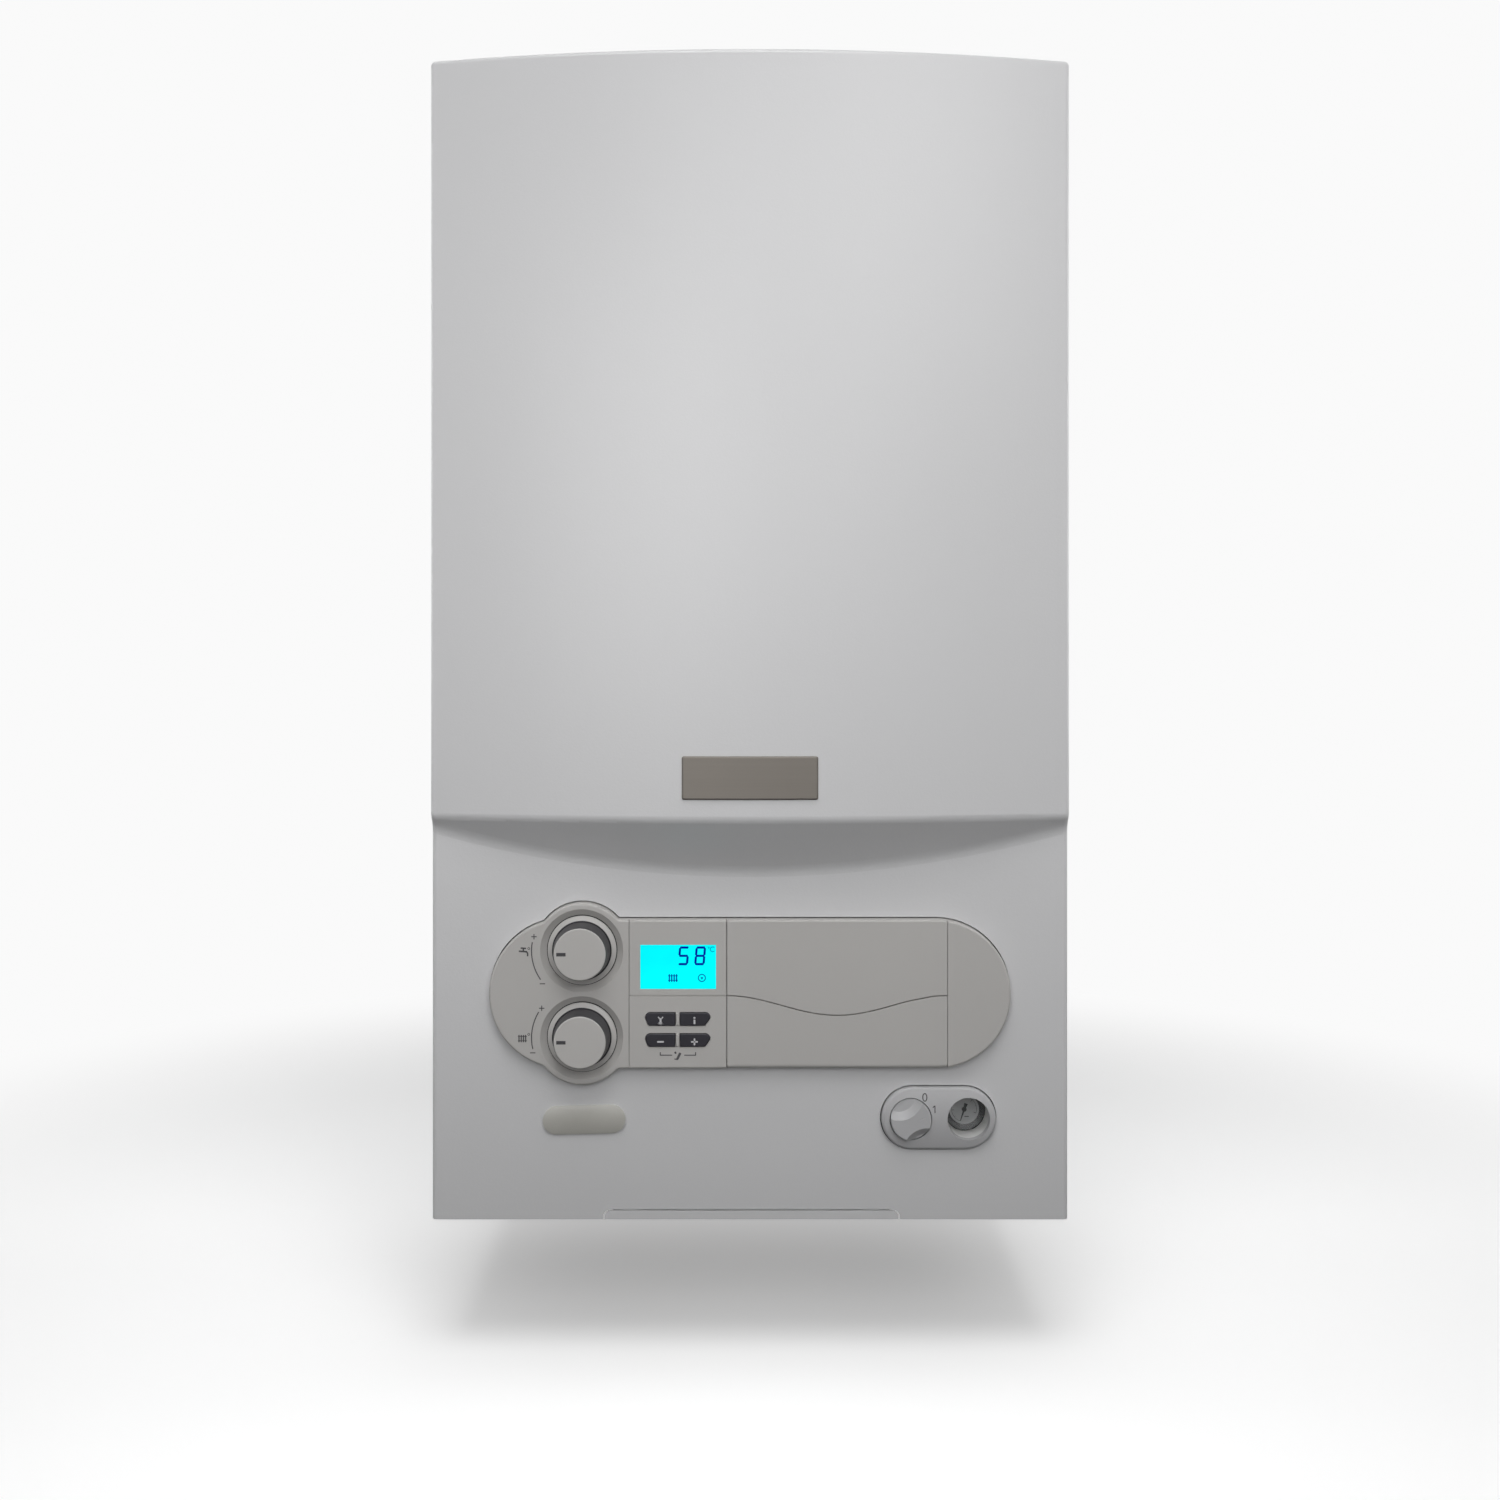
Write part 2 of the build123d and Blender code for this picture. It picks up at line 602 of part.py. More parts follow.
def pipe_plate():
    """Floor of the chassis, with the pipe holes and a front flange for the casing screws."""
    side = half_w - SHEET
    flange_front = FACE_DEPTH - LIP_BEHIND
    plate = block((-side, side), (0, panel_front - SHEET - SEAM), (PLATE_HEIGHT, plate_top))
    plate += block((-side + PANEL_FLANGE, side - PANEL_FLANGE), (0, flange_front),
                   (PLATE_HEIGHT, plate_top))
    plate += block((-LIP_X, LIP_X), (flange_front - SHEET, flange_front), (TAB_Z[0], plate_top))
    holes = [(-PIPE_X, HEATING_R), (PIPE_X, HEATING_R), (-TAP_X, TAP_R), (TAP_X, TAP_R), (0, GAS_R)]
    for x, radius in holes:
        plate -= rod_z(x, PIPE_DEPTH, radius + SLIP, (0, 2 * plate_top))
    plate -= rod_z(RELIEF_X, RELIEF_DEPTH, TAP_R + SLIP, (0, 2 * plate_top))
    plate -= rod_z(GLAND_X, GLAND_DEPTH, GLAND_R + SLIP, (0, 2 * plate_top))
    for x in (-CASING_SCREW_X, CASING_SCREW_X):
        plate -= rod_y(x, CASING_SCREW_Z, SCREW_R + SLIP, (flange_front - 5, flange_front + 5))
    return plate


def cable_gland():
    body = rod_z(GLAND_X, GLAND_DEPTH, GLAND_R, (PLATE_HEIGHT, plate_top + GLAND_INSIDE))
    body += hexagon(GLAND_X, GLAND_DEPTH, GLAND_FLATS, (0, PLATE_HEIGHT))
    cone = Cone(2 * GLAND_BORE_R, GLAND_R + 2, GLAND_CONE_H)
    body += Pos(GLAND_X, -GLAND_DEPTH, -GLAND_CONE_H / 2) * cone
    bore_z = (-2 * GLAND_CONE_H, plate_top + 2 * GLAND_INSIDE)
    return body - rod_z(GLAND_X, GLAND_DEPTH, GLAND_BORE_R, bore_z)


# ---------------------------------------------------------------- combustion side
def air_chamber():
    """Sealed sheet box round the burner and the fan, open to the front."""
    x = CHAMBER_W / 2
    top = CASING_H - CASING_WALL
    outer = block((-x, x), (CHAMBER_BACK, CHAMBER_FRONT), (CHAMBER_FLOOR, top))
    inner = block((-x + SHEET, x - SHEET), (CHAMBER_BACK + SHEET, CHAMBER_FRONT - SHEET),
                  (CHAMBER_FLOOR + SHEET, top - SHEET))
    mouth = block((-x + CHAMBER_FLANGE, x - CHAMBER_FLANGE), (CHAMBER_FRONT - 5, CHAMBER_FRONT + 5),
                  (CHAMBER_FLOOR + CHAMBER_FLANGE, top - CHAMBER_FLANGE))
    box = outer - inner - mouth
    box -= rod_z(0, FLUE_DEPTH, AIR_R, (top - 5, top + 5))
    floor = (CHAMBER_FLOOR - 5, CHAMBER_FLOOR + 5)
    for sign in (-1, 1):
        box -= rod_z(sign * RISER_X, PIPE_DEPTH, HEATING_R + SLIP, floor)
    return box - rod_z(0, manifold_depth(), GAS_R + SLIP, floor)


def manifold_depth():
    return HEARTH_FRONT + MANIFOLD_AHEAD


def chamber_seal():
    x = CHAMBER_W / 2
    z = (CHAMBER_FLOOR, CASING_H - CASING_WALL)
    ring = block((-x, x), (CHAMBER_FRONT, CHAMBER_FRONT + SEAL_T), z)
    hole = block((-x + CHAMBER_FLANGE, x - CHAMBER_FLANGE), (CHAMBER_FRONT - 5, CHAMBER_FRONT + 5),
                 (z[0] + CHAMBER_FLANGE, z[1] - CHAMBER_FLANGE))
    return ring - hole


def chamber_cover():
    """Front plate of the air chamber with a stiffening swage and screw heads."""
    x = CHAMBER_W / 2
    z = (CHAMBER_FLOOR, CASING_H - CASING_WALL)
    depth = CHAMBER_FRONT + SEAL_T
    plate = block((-x, x), (depth, depth + CASING_WALL), z)
    low, high = z[0] + SWAGE_FROM[0], z[1] - SWAGE_FROM[1]
    swage = block((-x + SWAGE_SIDE, x - SWAGE_SIDE), (depth, depth + SWAGE_T), (low, high))
    plate += chamfer(swage.faces().sort_by(Axis.Y)[0].edges(), SWAGE_T * 0.6)
    inner_x = x - SWAGE_SIDE - SWAGE_EDGE
    plate -= block((-inner_x, inner_x), (depth - 1, depth + SWAGE_T - CASING_WALL),
                   (low + SWAGE_EDGE, high - SWAGE_EDGE))
    plate -= rod_y(GLASS_X, GLASS_Z, GLASS_R - 3, (depth - 1, depth + 3))
    for sx in (-1, 1):
        for step in range(COVER_SCREWS):
            pitch = (z[1] - z[0] - 2 * COVER_SCREW_IN) / (COVER_SCREWS - 1)
            screw_z = z[0] + COVER_SCREW_IN + step * pitch
            plate += rod_y(sx * (x - COVER_SCREW_IN), screw_z, COVER_SCREW_R,
                           (depth + CASING_WALL, depth + CASING_WALL + 2.5))
    return plate


def sight_glass():
    depth = CHAMBER_FRONT + SEAL_T + CASING_WALL
    return rod_y(GLASS_X, GLASS_Z, GLASS_R, (depth, depth + 3))


def combustion_box():
    """Insulated box above the burner, open at top and bottom."""
    x = HEARTH_W / 2
    z = (HEARTH_FLOOR, HEARTH_TOP)
    box = block((-x, x), (HEARTH_BACK, HEARTH_FRONT), z)
    box -= block((-x + HEARTH_WALL, x - HEARTH_WALL),
                 (HEARTH_BACK + HEARTH_WALL, HEARTH_FRONT - HEARTH_WALL), (z[0] - 1, z[1] + 1))
    for sign in (-1, 1):
        box -= rod_y(sign * ELECTRODE_X, HEARTH_FLOOR + ELECTRODE_RISE, ELECTRODE_R + SLIP,
                     (HEARTH_FRONT - 1.5 * HEARTH_WALL, HEARTH_FRONT + 1))
    return box


def burner():
    """A rack of sheet blades, open below, on a frame that reaches both sides of the chamber."""
    x = CHAMBER_W / 2 - SHEET
    depth = (HEARTH_BACK + 30, HEARTH_FRONT - 5)
    low = HEARTH_FLOOR - BURNER_H
    rack = block((-x, x), depth, (low - RACK_T, low))
    rack -= block((-HEARTH_W / 2 + 1.5 * HEARTH_WALL, HEARTH_W / 2 - 1.5 * HEARTH_WALL),
                  (depth[0] + 3 * RACK_T, depth[1] - 3 * RACK_T), (low - RACK_T - 1, low + 1))
    for centre in blade_places():
        half = blade_pitch() / 4
        rack += block((centre - half, centre + half), depth, (low, HEARTH_FLOOR))
    rack += block((-HEARTH_W / 2, HEARTH_W / 2), (depth[0], depth[0] + RACK_T), (low, HEARTH_FLOOR))
    for centre in blade_places():
        half = blade_pitch() / 4 - BURNER_WALL
        rack -= block((centre - half, centre + half), (depth[0] + RACK_T, depth[1] - BURNER_WALL),
                      (low - RACK_T - 1, HEARTH_FLOOR - BURNER_WALL))
    return rack


def blade_pitch():
    return (HEARTH_W - 2 * HEARTH_WALL) / BLADES


def blade_places():
    return [(number - (BLADES - 1) / 2) * blade_pitch() for number in range(BLADES)]


def gas_manifold():
    """Bar with one nozzle for each blade, fed from below."""
    x = HEARTH_W / 2 - 8
    z = HEARTH_FLOOR - BURNER_H / 2
    bar = block((-x, x), (manifold_depth() - 6, manifold_depth() + 6), (z - 7, z + 7))
    for centre in blade_places():
        bar += rod_y(centre, z, NOZZLE_R, (HEARTH_FRONT - 4.5, manifold_depth()))
    return bar + rod_z(0, manifold_depth(), GAS_R, (z - MANIFOLD_LEG, z))


def electrodes():
    """Spark electrode and flame sensor: a ceramic with a rod each."""
    rods = []
    for sign in (-1, 1):
        x = sign * ELECTRODE_X
        z = HEARTH_FLOOR + ELECTRODE_RISE
        rod = rod_y(x, z, ELECTRODE_R, (HEARTH_FRONT - 14, HEARTH_FRONT + 12))
        rod += rod_y(x, z, ELECTRODE_R + 2, (HEARTH_FRONT, HEARTH_FRONT + 3))
        rod += rod_y(x, z, 1.2, (HEARTH_FRONT - 45, HEARTH_FRONT + 18))
        rods.append(rod)
    return Compound(children=rods)


def heat_exchanger():
    """Finned block on straight tubes between two headers."""
    x = HEARTH_W / 2
    depth = (HEARTH_BACK, HEARTH_FRONT)
    z = (HEARTH_TOP, exchanger_top)
    core = block((-x, x), (depth[0], depth[0] + EXCHANGER_WALL), z)
    core += block((-x, x), (depth[1] - EXCHANGER_WALL, depth[1]), z)
    pitch = HEARTH_W / FINS
    for number in range(FINS + 1):
        centre = -x + number * pitch
        low = min(max(centre - FIN_T / 2, -x), x - FIN_T)
        core += block((low, low + FIN_T), depth, (z[0] + FIN_IN, z[1] - FIN_IN))
    for number in range(TUBES):
        tube_depth = depth[0] + (number + 0.5) * (depth[1] - depth[0]) / TUBES
        core += rod_x(tube_depth, tube_z, TUBE_R, (-x - 2, x + 2))
    for sign in (-1, 1):
        header = sorted((sign * x, sign * (x + HEADER_W)))
        core += block(header, (depth[0] + 2, depth[1] - 2), (tube_z - 2 * TUBE_R, tube_z + 2 * TUBE_R))
        bore = sorted((sign * (x + 2), sign * (x + HEADER_W - 2)))
        core -= block(bore, (depth[0] + 4, depth[1] - 4), (tube_z - TUBE_R, tube_z + TUBE_R))
    for number in range(TUBES):
        tube_depth = depth[0] + (number + 0.5) * (depth[1] - depth[0]) / TUBES
        core -= rod_x(tube_depth, tube_z, TUBE_R - PIPE_WALL, (-x - 4, x + 4))
    return core


def flue_hood():
    """Sheet hood that gathers the fumes under the fan."""
    depth = (HEARTH_BACK, HEARTH_FRONT)
    mid = -sum(depth) / 2

    def sleeve(inset):
        low = Pos(0, mid, exchanger_top) * Rectangle(HEARTH_W - inset, depth[1] - depth[0] - inset)
        mouth = Rectangle(HOOD_W - inset, HOOD_D - inset)
        high = Pos(0, -(FLUE_DEPTH - HOOD_BACK), HOOD_TOP) * mouth
        return loft([low, high])

    return sleeve(0) - sleeve(2 * SHEET)


def fan_housing():
    """Drum with its inlet box behind, standing on the hood, and the outlet on top."""
    drum_depth = (FLUE_DEPTH - FAN_HALF_D, FLUE_DEPTH + FAN_HALF_D)
    outlet_r = FLUE_R - 0.5
    outlet_top = FLUE_TOP - FLUE_SOCKET - FLUE_SPIGOT + 15
    half = HOOD_W / 2
    inlet_back = drum_depth[0] - FAN_INLET_D
    drum = rod_y(0, FAN_Z, FAN_R, drum_depth)
    drum += block((-half, half), (inlet_back, drum_depth[0]), (HOOD_TOP, FAN_Z + FAN_INLET_RISE))
    drum += block((-half, half), drum_depth, (HOOD_TOP, FAN_Z))
    drum += rod_z(0, FLUE_DEPTH, outlet_r, (FAN_Z, outlet_top))
    drum -= rod_y(0, FAN_Z, FAN_R - TUBE_WALL, (drum_depth[0] + TUBE_WALL, drum_depth[1] - TUBE_WALL))
    drum -= block((-half + 2, half - 2), (inlet_back + 2, drum_depth[0] - TUBE_WALL),
                  (HOOD_TOP - 1, FAN_Z + FAN_INLET_RISE - 2))
    drum -= rod_z(0, FLUE_DEPTH, outlet_r - TUBE_WALL, (FAN_Z, CASING_H))
    drum -= rod_y(0, FAN_Z, FAN_INLET_R, (drum_depth[0] - 5, FLUE_DEPTH))
    return drum - rod_y(0, FAN_Z, SHAFT_R + SLIP, (FLUE_DEPTH, drum_depth[1] + 5))


def fan_impeller():
    """Squirrel-cage wheel on its shaft."""
    half = FAN_HALF_D - FAN_GAP
    depth = (FLUE_DEPTH - half, FLUE_DEPTH + half)
    wheel = rod_y(0, FAN_Z, FAN_WHEEL_R, (depth[1] - 2, depth[1]))
    ring = rod_y(0, FAN_Z, FAN_WHEEL_R, (depth[0], depth[0] + 3))
    ring -= rod_y(0, FAN_Z, FAN_WHEEL_R - FAN_VANE_W - 1.5, (depth[0] - 1, depth[0] + 4))
    wheel += ring
    for number in range(FAN_VANES):
        edge = FAN_WHEEL_R - 0.5
        vane = block((edge - FAN_VANE_W, edge), depth, (-0.7, 0.7))
        wheel += Pos(0, 0, FAN_Z) * Rot(0, number * 360 / FAN_VANES, 0) * vane
    hub = rod_y(0, FAN_Z, FAN_HUB_R, (depth[1] - FAN_HUB_L, depth[1]))
    shaft = rod_y(0, FAN_Z, SHAFT_R, (depth[1] - FAN_HUB_L, FLUE_DEPTH + FAN_HALF_D + 20))
    return wheel + hub + shaft


def fan_motor():
    back = FLUE_DEPTH + FAN_HALF_D
    body_back = back + FAN_MOTOR_FOOT
    motor = rod_y(0, FAN_Z, FAN_MOTOR_R, (body_back, back + FAN_MOTOR_L))
    motor = fillet(motor.edges().sort_by(Axis.Y)[0], 6)
    motor += rod_y(0, FAN_Z, FAN_MOTOR_R * 0.6, (back, body_back))
    for turn in (0, 120, 240):
        foot = rod_y(FAN_MOTOR_R - 6, 0, 4, (back, body_back + 2))
        motor += Pos(0, 0, FAN_Z) * Rot(0, turn, 0) * foot
    return motor - rod_y(0, FAN_Z, SHAFT_R + SLIP, (back - 1, back + FAN_MOTOR_L / 2 + 1))


def flue_adapter():
    """Two nested collars: the flue pipe plugs into the inner one, the air duct over the outer."""
    base = block((-FLUE_BASE, FLUE_BASE), (FLUE_DEPTH - FLUE_BASE, FLUE_DEPTH + FLUE_BASE),
                 (CASING_H, CASING_H + TUBE_WALL))
    base += rod_z(0, FLUE_DEPTH, AIR_R + TUBE_WALL, (CASING_H, AIR_TOP))
    base -= rod_z(0, FLUE_DEPTH, AIR_R, (CASING_H - 1, AIR_TOP + 1))
    shoulder = FLUE_TOP - FLUE_SOCKET
    collar = rod_z(0, FLUE_DEPTH, FLUE_R + TUBE_WALL, (shoulder - FLUE_SPIGOT, FLUE_TOP))
    rib = block((0, AIR_R + 0.5), (-FLUE_RIB_T / 2, FLUE_RIB_T / 2),
                (CASING_H + 2, CASING_H + 2 + FLUE_RIB_H))
    for turn in (90, 210, 330):
        collar += Pos(0, -FLUE_DEPTH, 0) * Rot(0, 0, turn) * rib
    collar -= rod_z(0, FLUE_DEPTH, FLUE_R, (shoulder, FLUE_TOP + 1))
    collar -= rod_z(0, FLUE_DEPTH, FLUE_R, (0, shoulder - 3))
    collar -= rod_z(0, FLUE_DEPTH, FLUE_R - 4, (0, FLUE_TOP))
    return base + collar


def air_pressure_switch():
    wall_x = CHAMBER_W / 2 - SHEET
    face_x = wall_x - SWITCH_BODY_T
    switch = rod_x(FLUE_DEPTH, FAN_Z, SWITCH_BODY_R, (face_x, wall_x))
    switch += rod_x(FLUE_DEPTH, FAN_Z, 12, (face_x - SWITCH_HEAD_T, face_x))
    for shift in (-SWITCH_PORT_PITCH / 2, SWITCH_PORT_PITCH / 2):
        switch += rod_x(FLUE_DEPTH + shift, FAN_Z + 12, SWITCH_PORT_R,
                        (face_x - SWITCH_HEAD_T - 2, face_x))
    return switch


def expansion_vessel():
    """Flat steel vessel clamped behind the chamber: two pressed halves and their rolled seam."""
    def tank(inset):
        x = VESSEL_W / 2 - inset
        z = (VESSEL_Z - VESSEL_H / 2 + inset, VESSEL_Z + VESSEL_H / 2 - inset)
        form = block((-x, x), (VESSEL_BACK + inset, CHAMBER_BACK - inset), z)
        return fillet(form.edges(), VESSEL_ROUND - inset)

    mid = (VESSEL_BACK + CHAMBER_BACK) / 2
    side = VESSEL_W / 2 + 2 * VESSEL_WALL
    rise = VESSEL_H / 2 + 2 * VESSEL_WALL
    seam = block((-side, side), (mid - VESSEL_WALL, mid + VESSEL_WALL),
                 (VESSEL_Z - rise, VESSEL_Z + rise))
    seam = fillet(seam.edges().filter_by(Axis.Y), VESSEL_ROUND + 2 * VESSEL_WALL)
    return tank(0) + seam - tank(VESSEL_WALL)


# ---------------------------------------------------------------- water and gas side
def diverter_valve():
    """Brass valve block between the heating flow and the plate heat exchanger."""
    body = rod_z(-PIPE_X, PIPE_DEPTH, VALVE_R, (GROUP_BOTTOM, VALVE_TOP))
    body += hexagon(-PIPE_X, PIPE_DEPTH, VALVE_FLATS, (GROUP_BOTTOM, GROUP_BOTTOM + VALVE_NUT_H))
    body += rod_x(PIPE_DEPTH, CROSS_Z, HEATING_R, (-RISER_X, -PIPE_X))
    body += rod_z(-RISER_X, PIPE_DEPTH, HEATING_R + 2, (CROSS_Z - 12, FLOW_PORT))
    return body + block((-PIPE_X - VALVE_R, -PORT_X), (HEX_FRONT, PIPE_DEPTH - 10), PORT_Z)


def diverter_motor():
    head = rod_z(-PIPE_X, PIPE_DEPTH, DIVERTER_HEAD_R, (VALVE_TOP, VALVE_TOP + DIVERTER_HEAD_H))
    head = fillet(head.edges().sort_by(Axis.Z)[-1], 4)
    side = DIVERTER_HEAD_R - 6
    return head + block((-PIPE_X - side, -PIPE_X + side), (PIPE_DEPTH, PIPE_DEPTH + 26),
                        (VALVE_TOP + 6, VALVE_TOP + DIVERTER_HEAD_H - 12))


def plate_heat_exchanger():
    """Stack of brazed plates between two end plates."""
    x = HEX_W / 2
    z = (HEX_BOTTOM, HEX_TOP)
    pitch = (HEX_FRONT - HEX_BACK) / HEX_PLATES
    stack = block((-x + HEX_RIM, x - HEX_RIM), (HEX_BACK, HEX_FRONT), (z[0] + HEX_RIM, z[1] - HEX_RIM))
    for number in range(HEX_PLATES):
        depth = HEX_BACK + number * pitch
        stack += block((-x, x), (depth, depth + pitch * 0.6), z)
    stack += block((-x, x), (HEX_FRONT - HEX_END_T, HEX_FRONT), z)
    channel = 3 * HEX_RIM
    for number in range(HEX_PLATES - 1):
        depth = HEX_BACK + (number + 0.6) * pitch
        stack -= block((-x + channel, x - channel), (depth, depth + pitch * 0.8),
                       (z[0] + channel, z[1] - channel))
    return stack


def pump_housing():
    """Volute with inlet below, tangential outlet, vent boss and safety valve boss."""
    body = rod_y(PIPE_X, PUMP_Z, PUMP_R, (PIPE_DEPTH - PUMP_BACK, PIPE_DEPTH + PUMP_AHEAD))
    body += rod_z(PIPE_X, PIPE_DEPTH, HEATING_R + 3, (GROUP_BOTTOM, PUMP_Z))
    body += rod_z(RISER_X, PIPE_DEPTH, HEATING_R + 3, (PUMP_Z, VALVE_TOP))
    body += rod_z(PIPE_X - VENT_SHIFT, PIPE_DEPTH, 8, (PUMP_Z, PUMP_Z + PUMP_R + VENT_RISE))
    body += rod_x(PIPE_DEPTH, PUMP_Z, TAP_R + 1.5, (RELIEF_X + RELIEF_ARM, PIPE_X))
    body += block((PORT_X, PIPE_X), (HEX_FRONT, PIPE_DEPTH), PORT_Z)
    return body - rod_y(PIPE_X, PUMP_Z, PUMP_R - PUMP_WALL,
                        (PIPE_DEPTH - PUMP_BACK + 8, PIPE_DEPTH + PUMP_AHEAD + 1))


def pump_motor():
    """Wet-rotor motor with ribs and a terminal box."""
    depth = (PIPE_DEPTH + PUMP_AHEAD, PUMP_FRONT)
    motor = rod_y(PIPE_X, PUMP_Z, PUMP_MOTOR_R + 5, (depth[0], depth[0] + PUMP_FLANGE_T))
    motor += rod_y(PIPE_X, PUMP_Z, PUMP_MOTOR_R, depth)
    motor = fillet(motor.edges().sort_by(Axis.Y)[0], 5)
    for number in range(PUMP_RIBS):
        ring = depth[0] + 2 * PUMP_RIB_PITCH + number * PUMP_RIB_PITCH
        motor += rod_y(PIPE_X, PUMP_Z, PUMP_MOTOR_R + 2, (ring, ring + PUMP_RIB_T))
    motor += block((PIPE_X - TERMINAL_W / 2, PIPE_X + TERMINAL_W / 2), (depth[0] + 38, depth[1] - 14),
                   (PUMP_Z, PUMP_Z + PUMP_MOTOR_R + 18))
    bore = rod_y(PIPE_X, PUMP_Z, ROTOR_R + SLIP, (depth[0] - 1, depth[1] - 20))
    bore += rod_y(PIPE_X, PUMP_Z, SHAFT_R + 1 + SLIP, (depth[0], depth[1] - 8))
    return motor - bore


def pump_rotor():
    """Impeller disc with vanes, rotor core and shaft."""
    wheel = rod_y(PIPE_X, PUMP_Z, PUMP_WHEEL_R, (PIPE_DEPTH - 4, PIPE_DEPTH + 2))
    for number in range(PUMP_VANES):
        vane = block((10, PUMP_WHEEL_R - 1), (PIPE_DEPTH - 9, PIPE_DEPTH - 3), (-1.5, 1.5))
        wheel += Pos(PIPE_X, 0, PUMP_Z) * Rot(0, number * 360 / PUMP_VANES, 0) * vane
    core = rod_y(PIPE_X, PUMP_Z, ROTOR_R, (PIPE_DEPTH + PUMP_AHEAD + 5, PUMP_FRONT - 24))
    shaft = rod_y(PIPE_X, PUMP_Z, SHAFT_R + 1, (PIPE_DEPTH - 4, PUMP_FRONT - 10))
    return wheel + core + shaft


def air_vent():
    x = PIPE_X - VENT_SHIFT
    low = PUMP_Z + PUMP_R + VENT_RISE
    vent = rod_z(x, PIPE_DEPTH, VENT_R, (low, low + VENT_H))
    vent = fillet(vent.edges().sort_by(Axis.Z)[-1], 3)
    return vent + rod_z(x, PIPE_DEPTH, 5, (low + VENT_H, low + VENT_H + 7))


def safety_valve():
    """Relief valve on the pump, with its discharge pipe going down."""
    body = rod_y(RELIEF_X, PUMP_Z, RELIEF_R, (PIPE_DEPTH - 15, PIPE_DEPTH + RELIEF_L))
    body += rod_x(PIPE_DEPTH, PUMP_Z, TAP_R, (RELIEF_X, RELIEF_X + RELIEF_ARM))
    depth = RELIEF_DEPTH
    body += rod_z(RELIEF_X, depth, TAP_R, (STUB_BOTTOM, PLATE_HEIGHT - RELIEF_CLEAR))
    body += rod_z(RELIEF_X, depth, TAP_R - NECK, (STUB_BOTTOM, PUMP_Z))
    bore_z = (STUB_BOTTOM - 1, PUMP_Z - RELIEF_R)
    return body - rod_z(RELIEF_X, depth, TAP_R - NECK - PIPE_WALL, bore_z)


def safety_valve_knob():
    """Ribbed cap that is turned to lift the valve."""
    depth = (PIPE_DEPTH + RELIEF_L + SLIP, PIPE_DEPTH + RELIEF_L + RELIEF_KNOB_L)
    knob = rod_y(RELIEF_X, PUMP_Z, RELIEF_KNOB_R, depth)
    for number in range(RELIEF_GROOVES):
        groove = rod_y(RELIEF_KNOB_R + 0.6, 0, 1.6, (depth[0] - 1, depth[1] + 1))
        knob -= Pos(RELIEF_X, 0, PUMP_Z) * Rot(0, number * 360 / RELIEF_GROOVES, 0) * groove
    return knob


def gas_valve():
    z = (GAS_VALVE_Z, GAS_VALVE_Z + GAS_VALVE_H)
    front = GAS_VALVE_DEPTH[1]
    valve = block((-GAS_VALVE_W / 2, GAS_VALVE_W / 2), GAS_VALVE_DEPTH, z)
    valve = chamfer(valve.edges().filter_by(Axis.Y), 6)
    for sign in (-1, 1):
        valve += rod_y(sign * COIL_X, GAS_VALVE_Z + 36, COIL_R, (front, front + COIL_L))
    return valve + rod_y(0, GAS_VALVE_Z + 12, 7, (front, front + 10))


def stub(x, depth, radius, top):
    """The part of a pipe that a fitting goes over, below the thinner rest of it."""
    return rod_z(x, depth, radius, (STUB_BOTTOM, top)) - rod_z(
        x, depth, radius - NECK - PIPE_WALL, (STUB_BOTTOM - 1, top + 1))


def water_pipes():
    """Heating flow and return stubs and risers, hot and cold water pipes."""
    pipes = []
    for sign in (-1, 1):
        x = sign * PIPE_X
        heating = stub(x, PIPE_DEPTH, HEATING_R, PLATE_HEIGHT - NUT_H)
        heating += pipe([(x, -PIPE_DEPTH, PLATE_HEIGHT - NUT_H), (x, -PIPE_DEPTH, GROUP_BOTTOM)],
                        HEATING_R - NECK, 0)
        start = FLOW_PORT if sign < 0 else VALVE_TOP
        header_x = sign * (HEARTH_W / 2 + HEADER_W)
        riser = pipe([(sign * RISER_X, -PIPE_DEPTH, start), (sign * RISER_X, -PIPE_DEPTH, tube_z),
                      (header_x, -PIPE_DEPTH, tube_z)], HEATING_R, 14)
        x = sign * TAP_X
        tap = stub(x, PIPE_DEPTH, TAP_R, PLATE_HEIGHT - NUT_H)
        tap += pipe([(x, -PIPE_DEPTH, PLATE_HEIGHT - NUT_H), (x, -PIPE_DEPTH, TAP_PORT),
                     (x, -HEX_FRONT, TAP_PORT)], TAP_R - NECK, 18)
        pipes += [heating, riser, tap]
    return Compound(children=pipes)


def gas_pipe():
    """Inlet pipe up to the gas valve, and the bent pipe on to the manifold."""
    inlet = stub(0, PIPE_DEPTH, GAS_R, PLATE_HEIGHT - NUT_H)
    inlet += pipe([(0, -PIPE_DEPTH, PLATE_HEIGHT - NUT_H), (0, -PIPE_DEPTH, GAS_VALVE_Z)],
                  GAS_R - NECK, 0)
    low = GAS_VALVE_Z + GAS_VALVE_H
    level = CHAMBER_FLOOR - 2 * GAS_R
    outlet = pipe([(0, -PIPE_DEPTH, low), (0, -PIPE_DEPTH, level), (0, -manifold_depth(), level),
                   (0, -manifold_depth(), HEARTH_FLOOR - BURNER_H / 2 - MANIFOLD_LEG)], GAS_R, GAS_BEND)
    return Compound(children=[inlet, outlet])


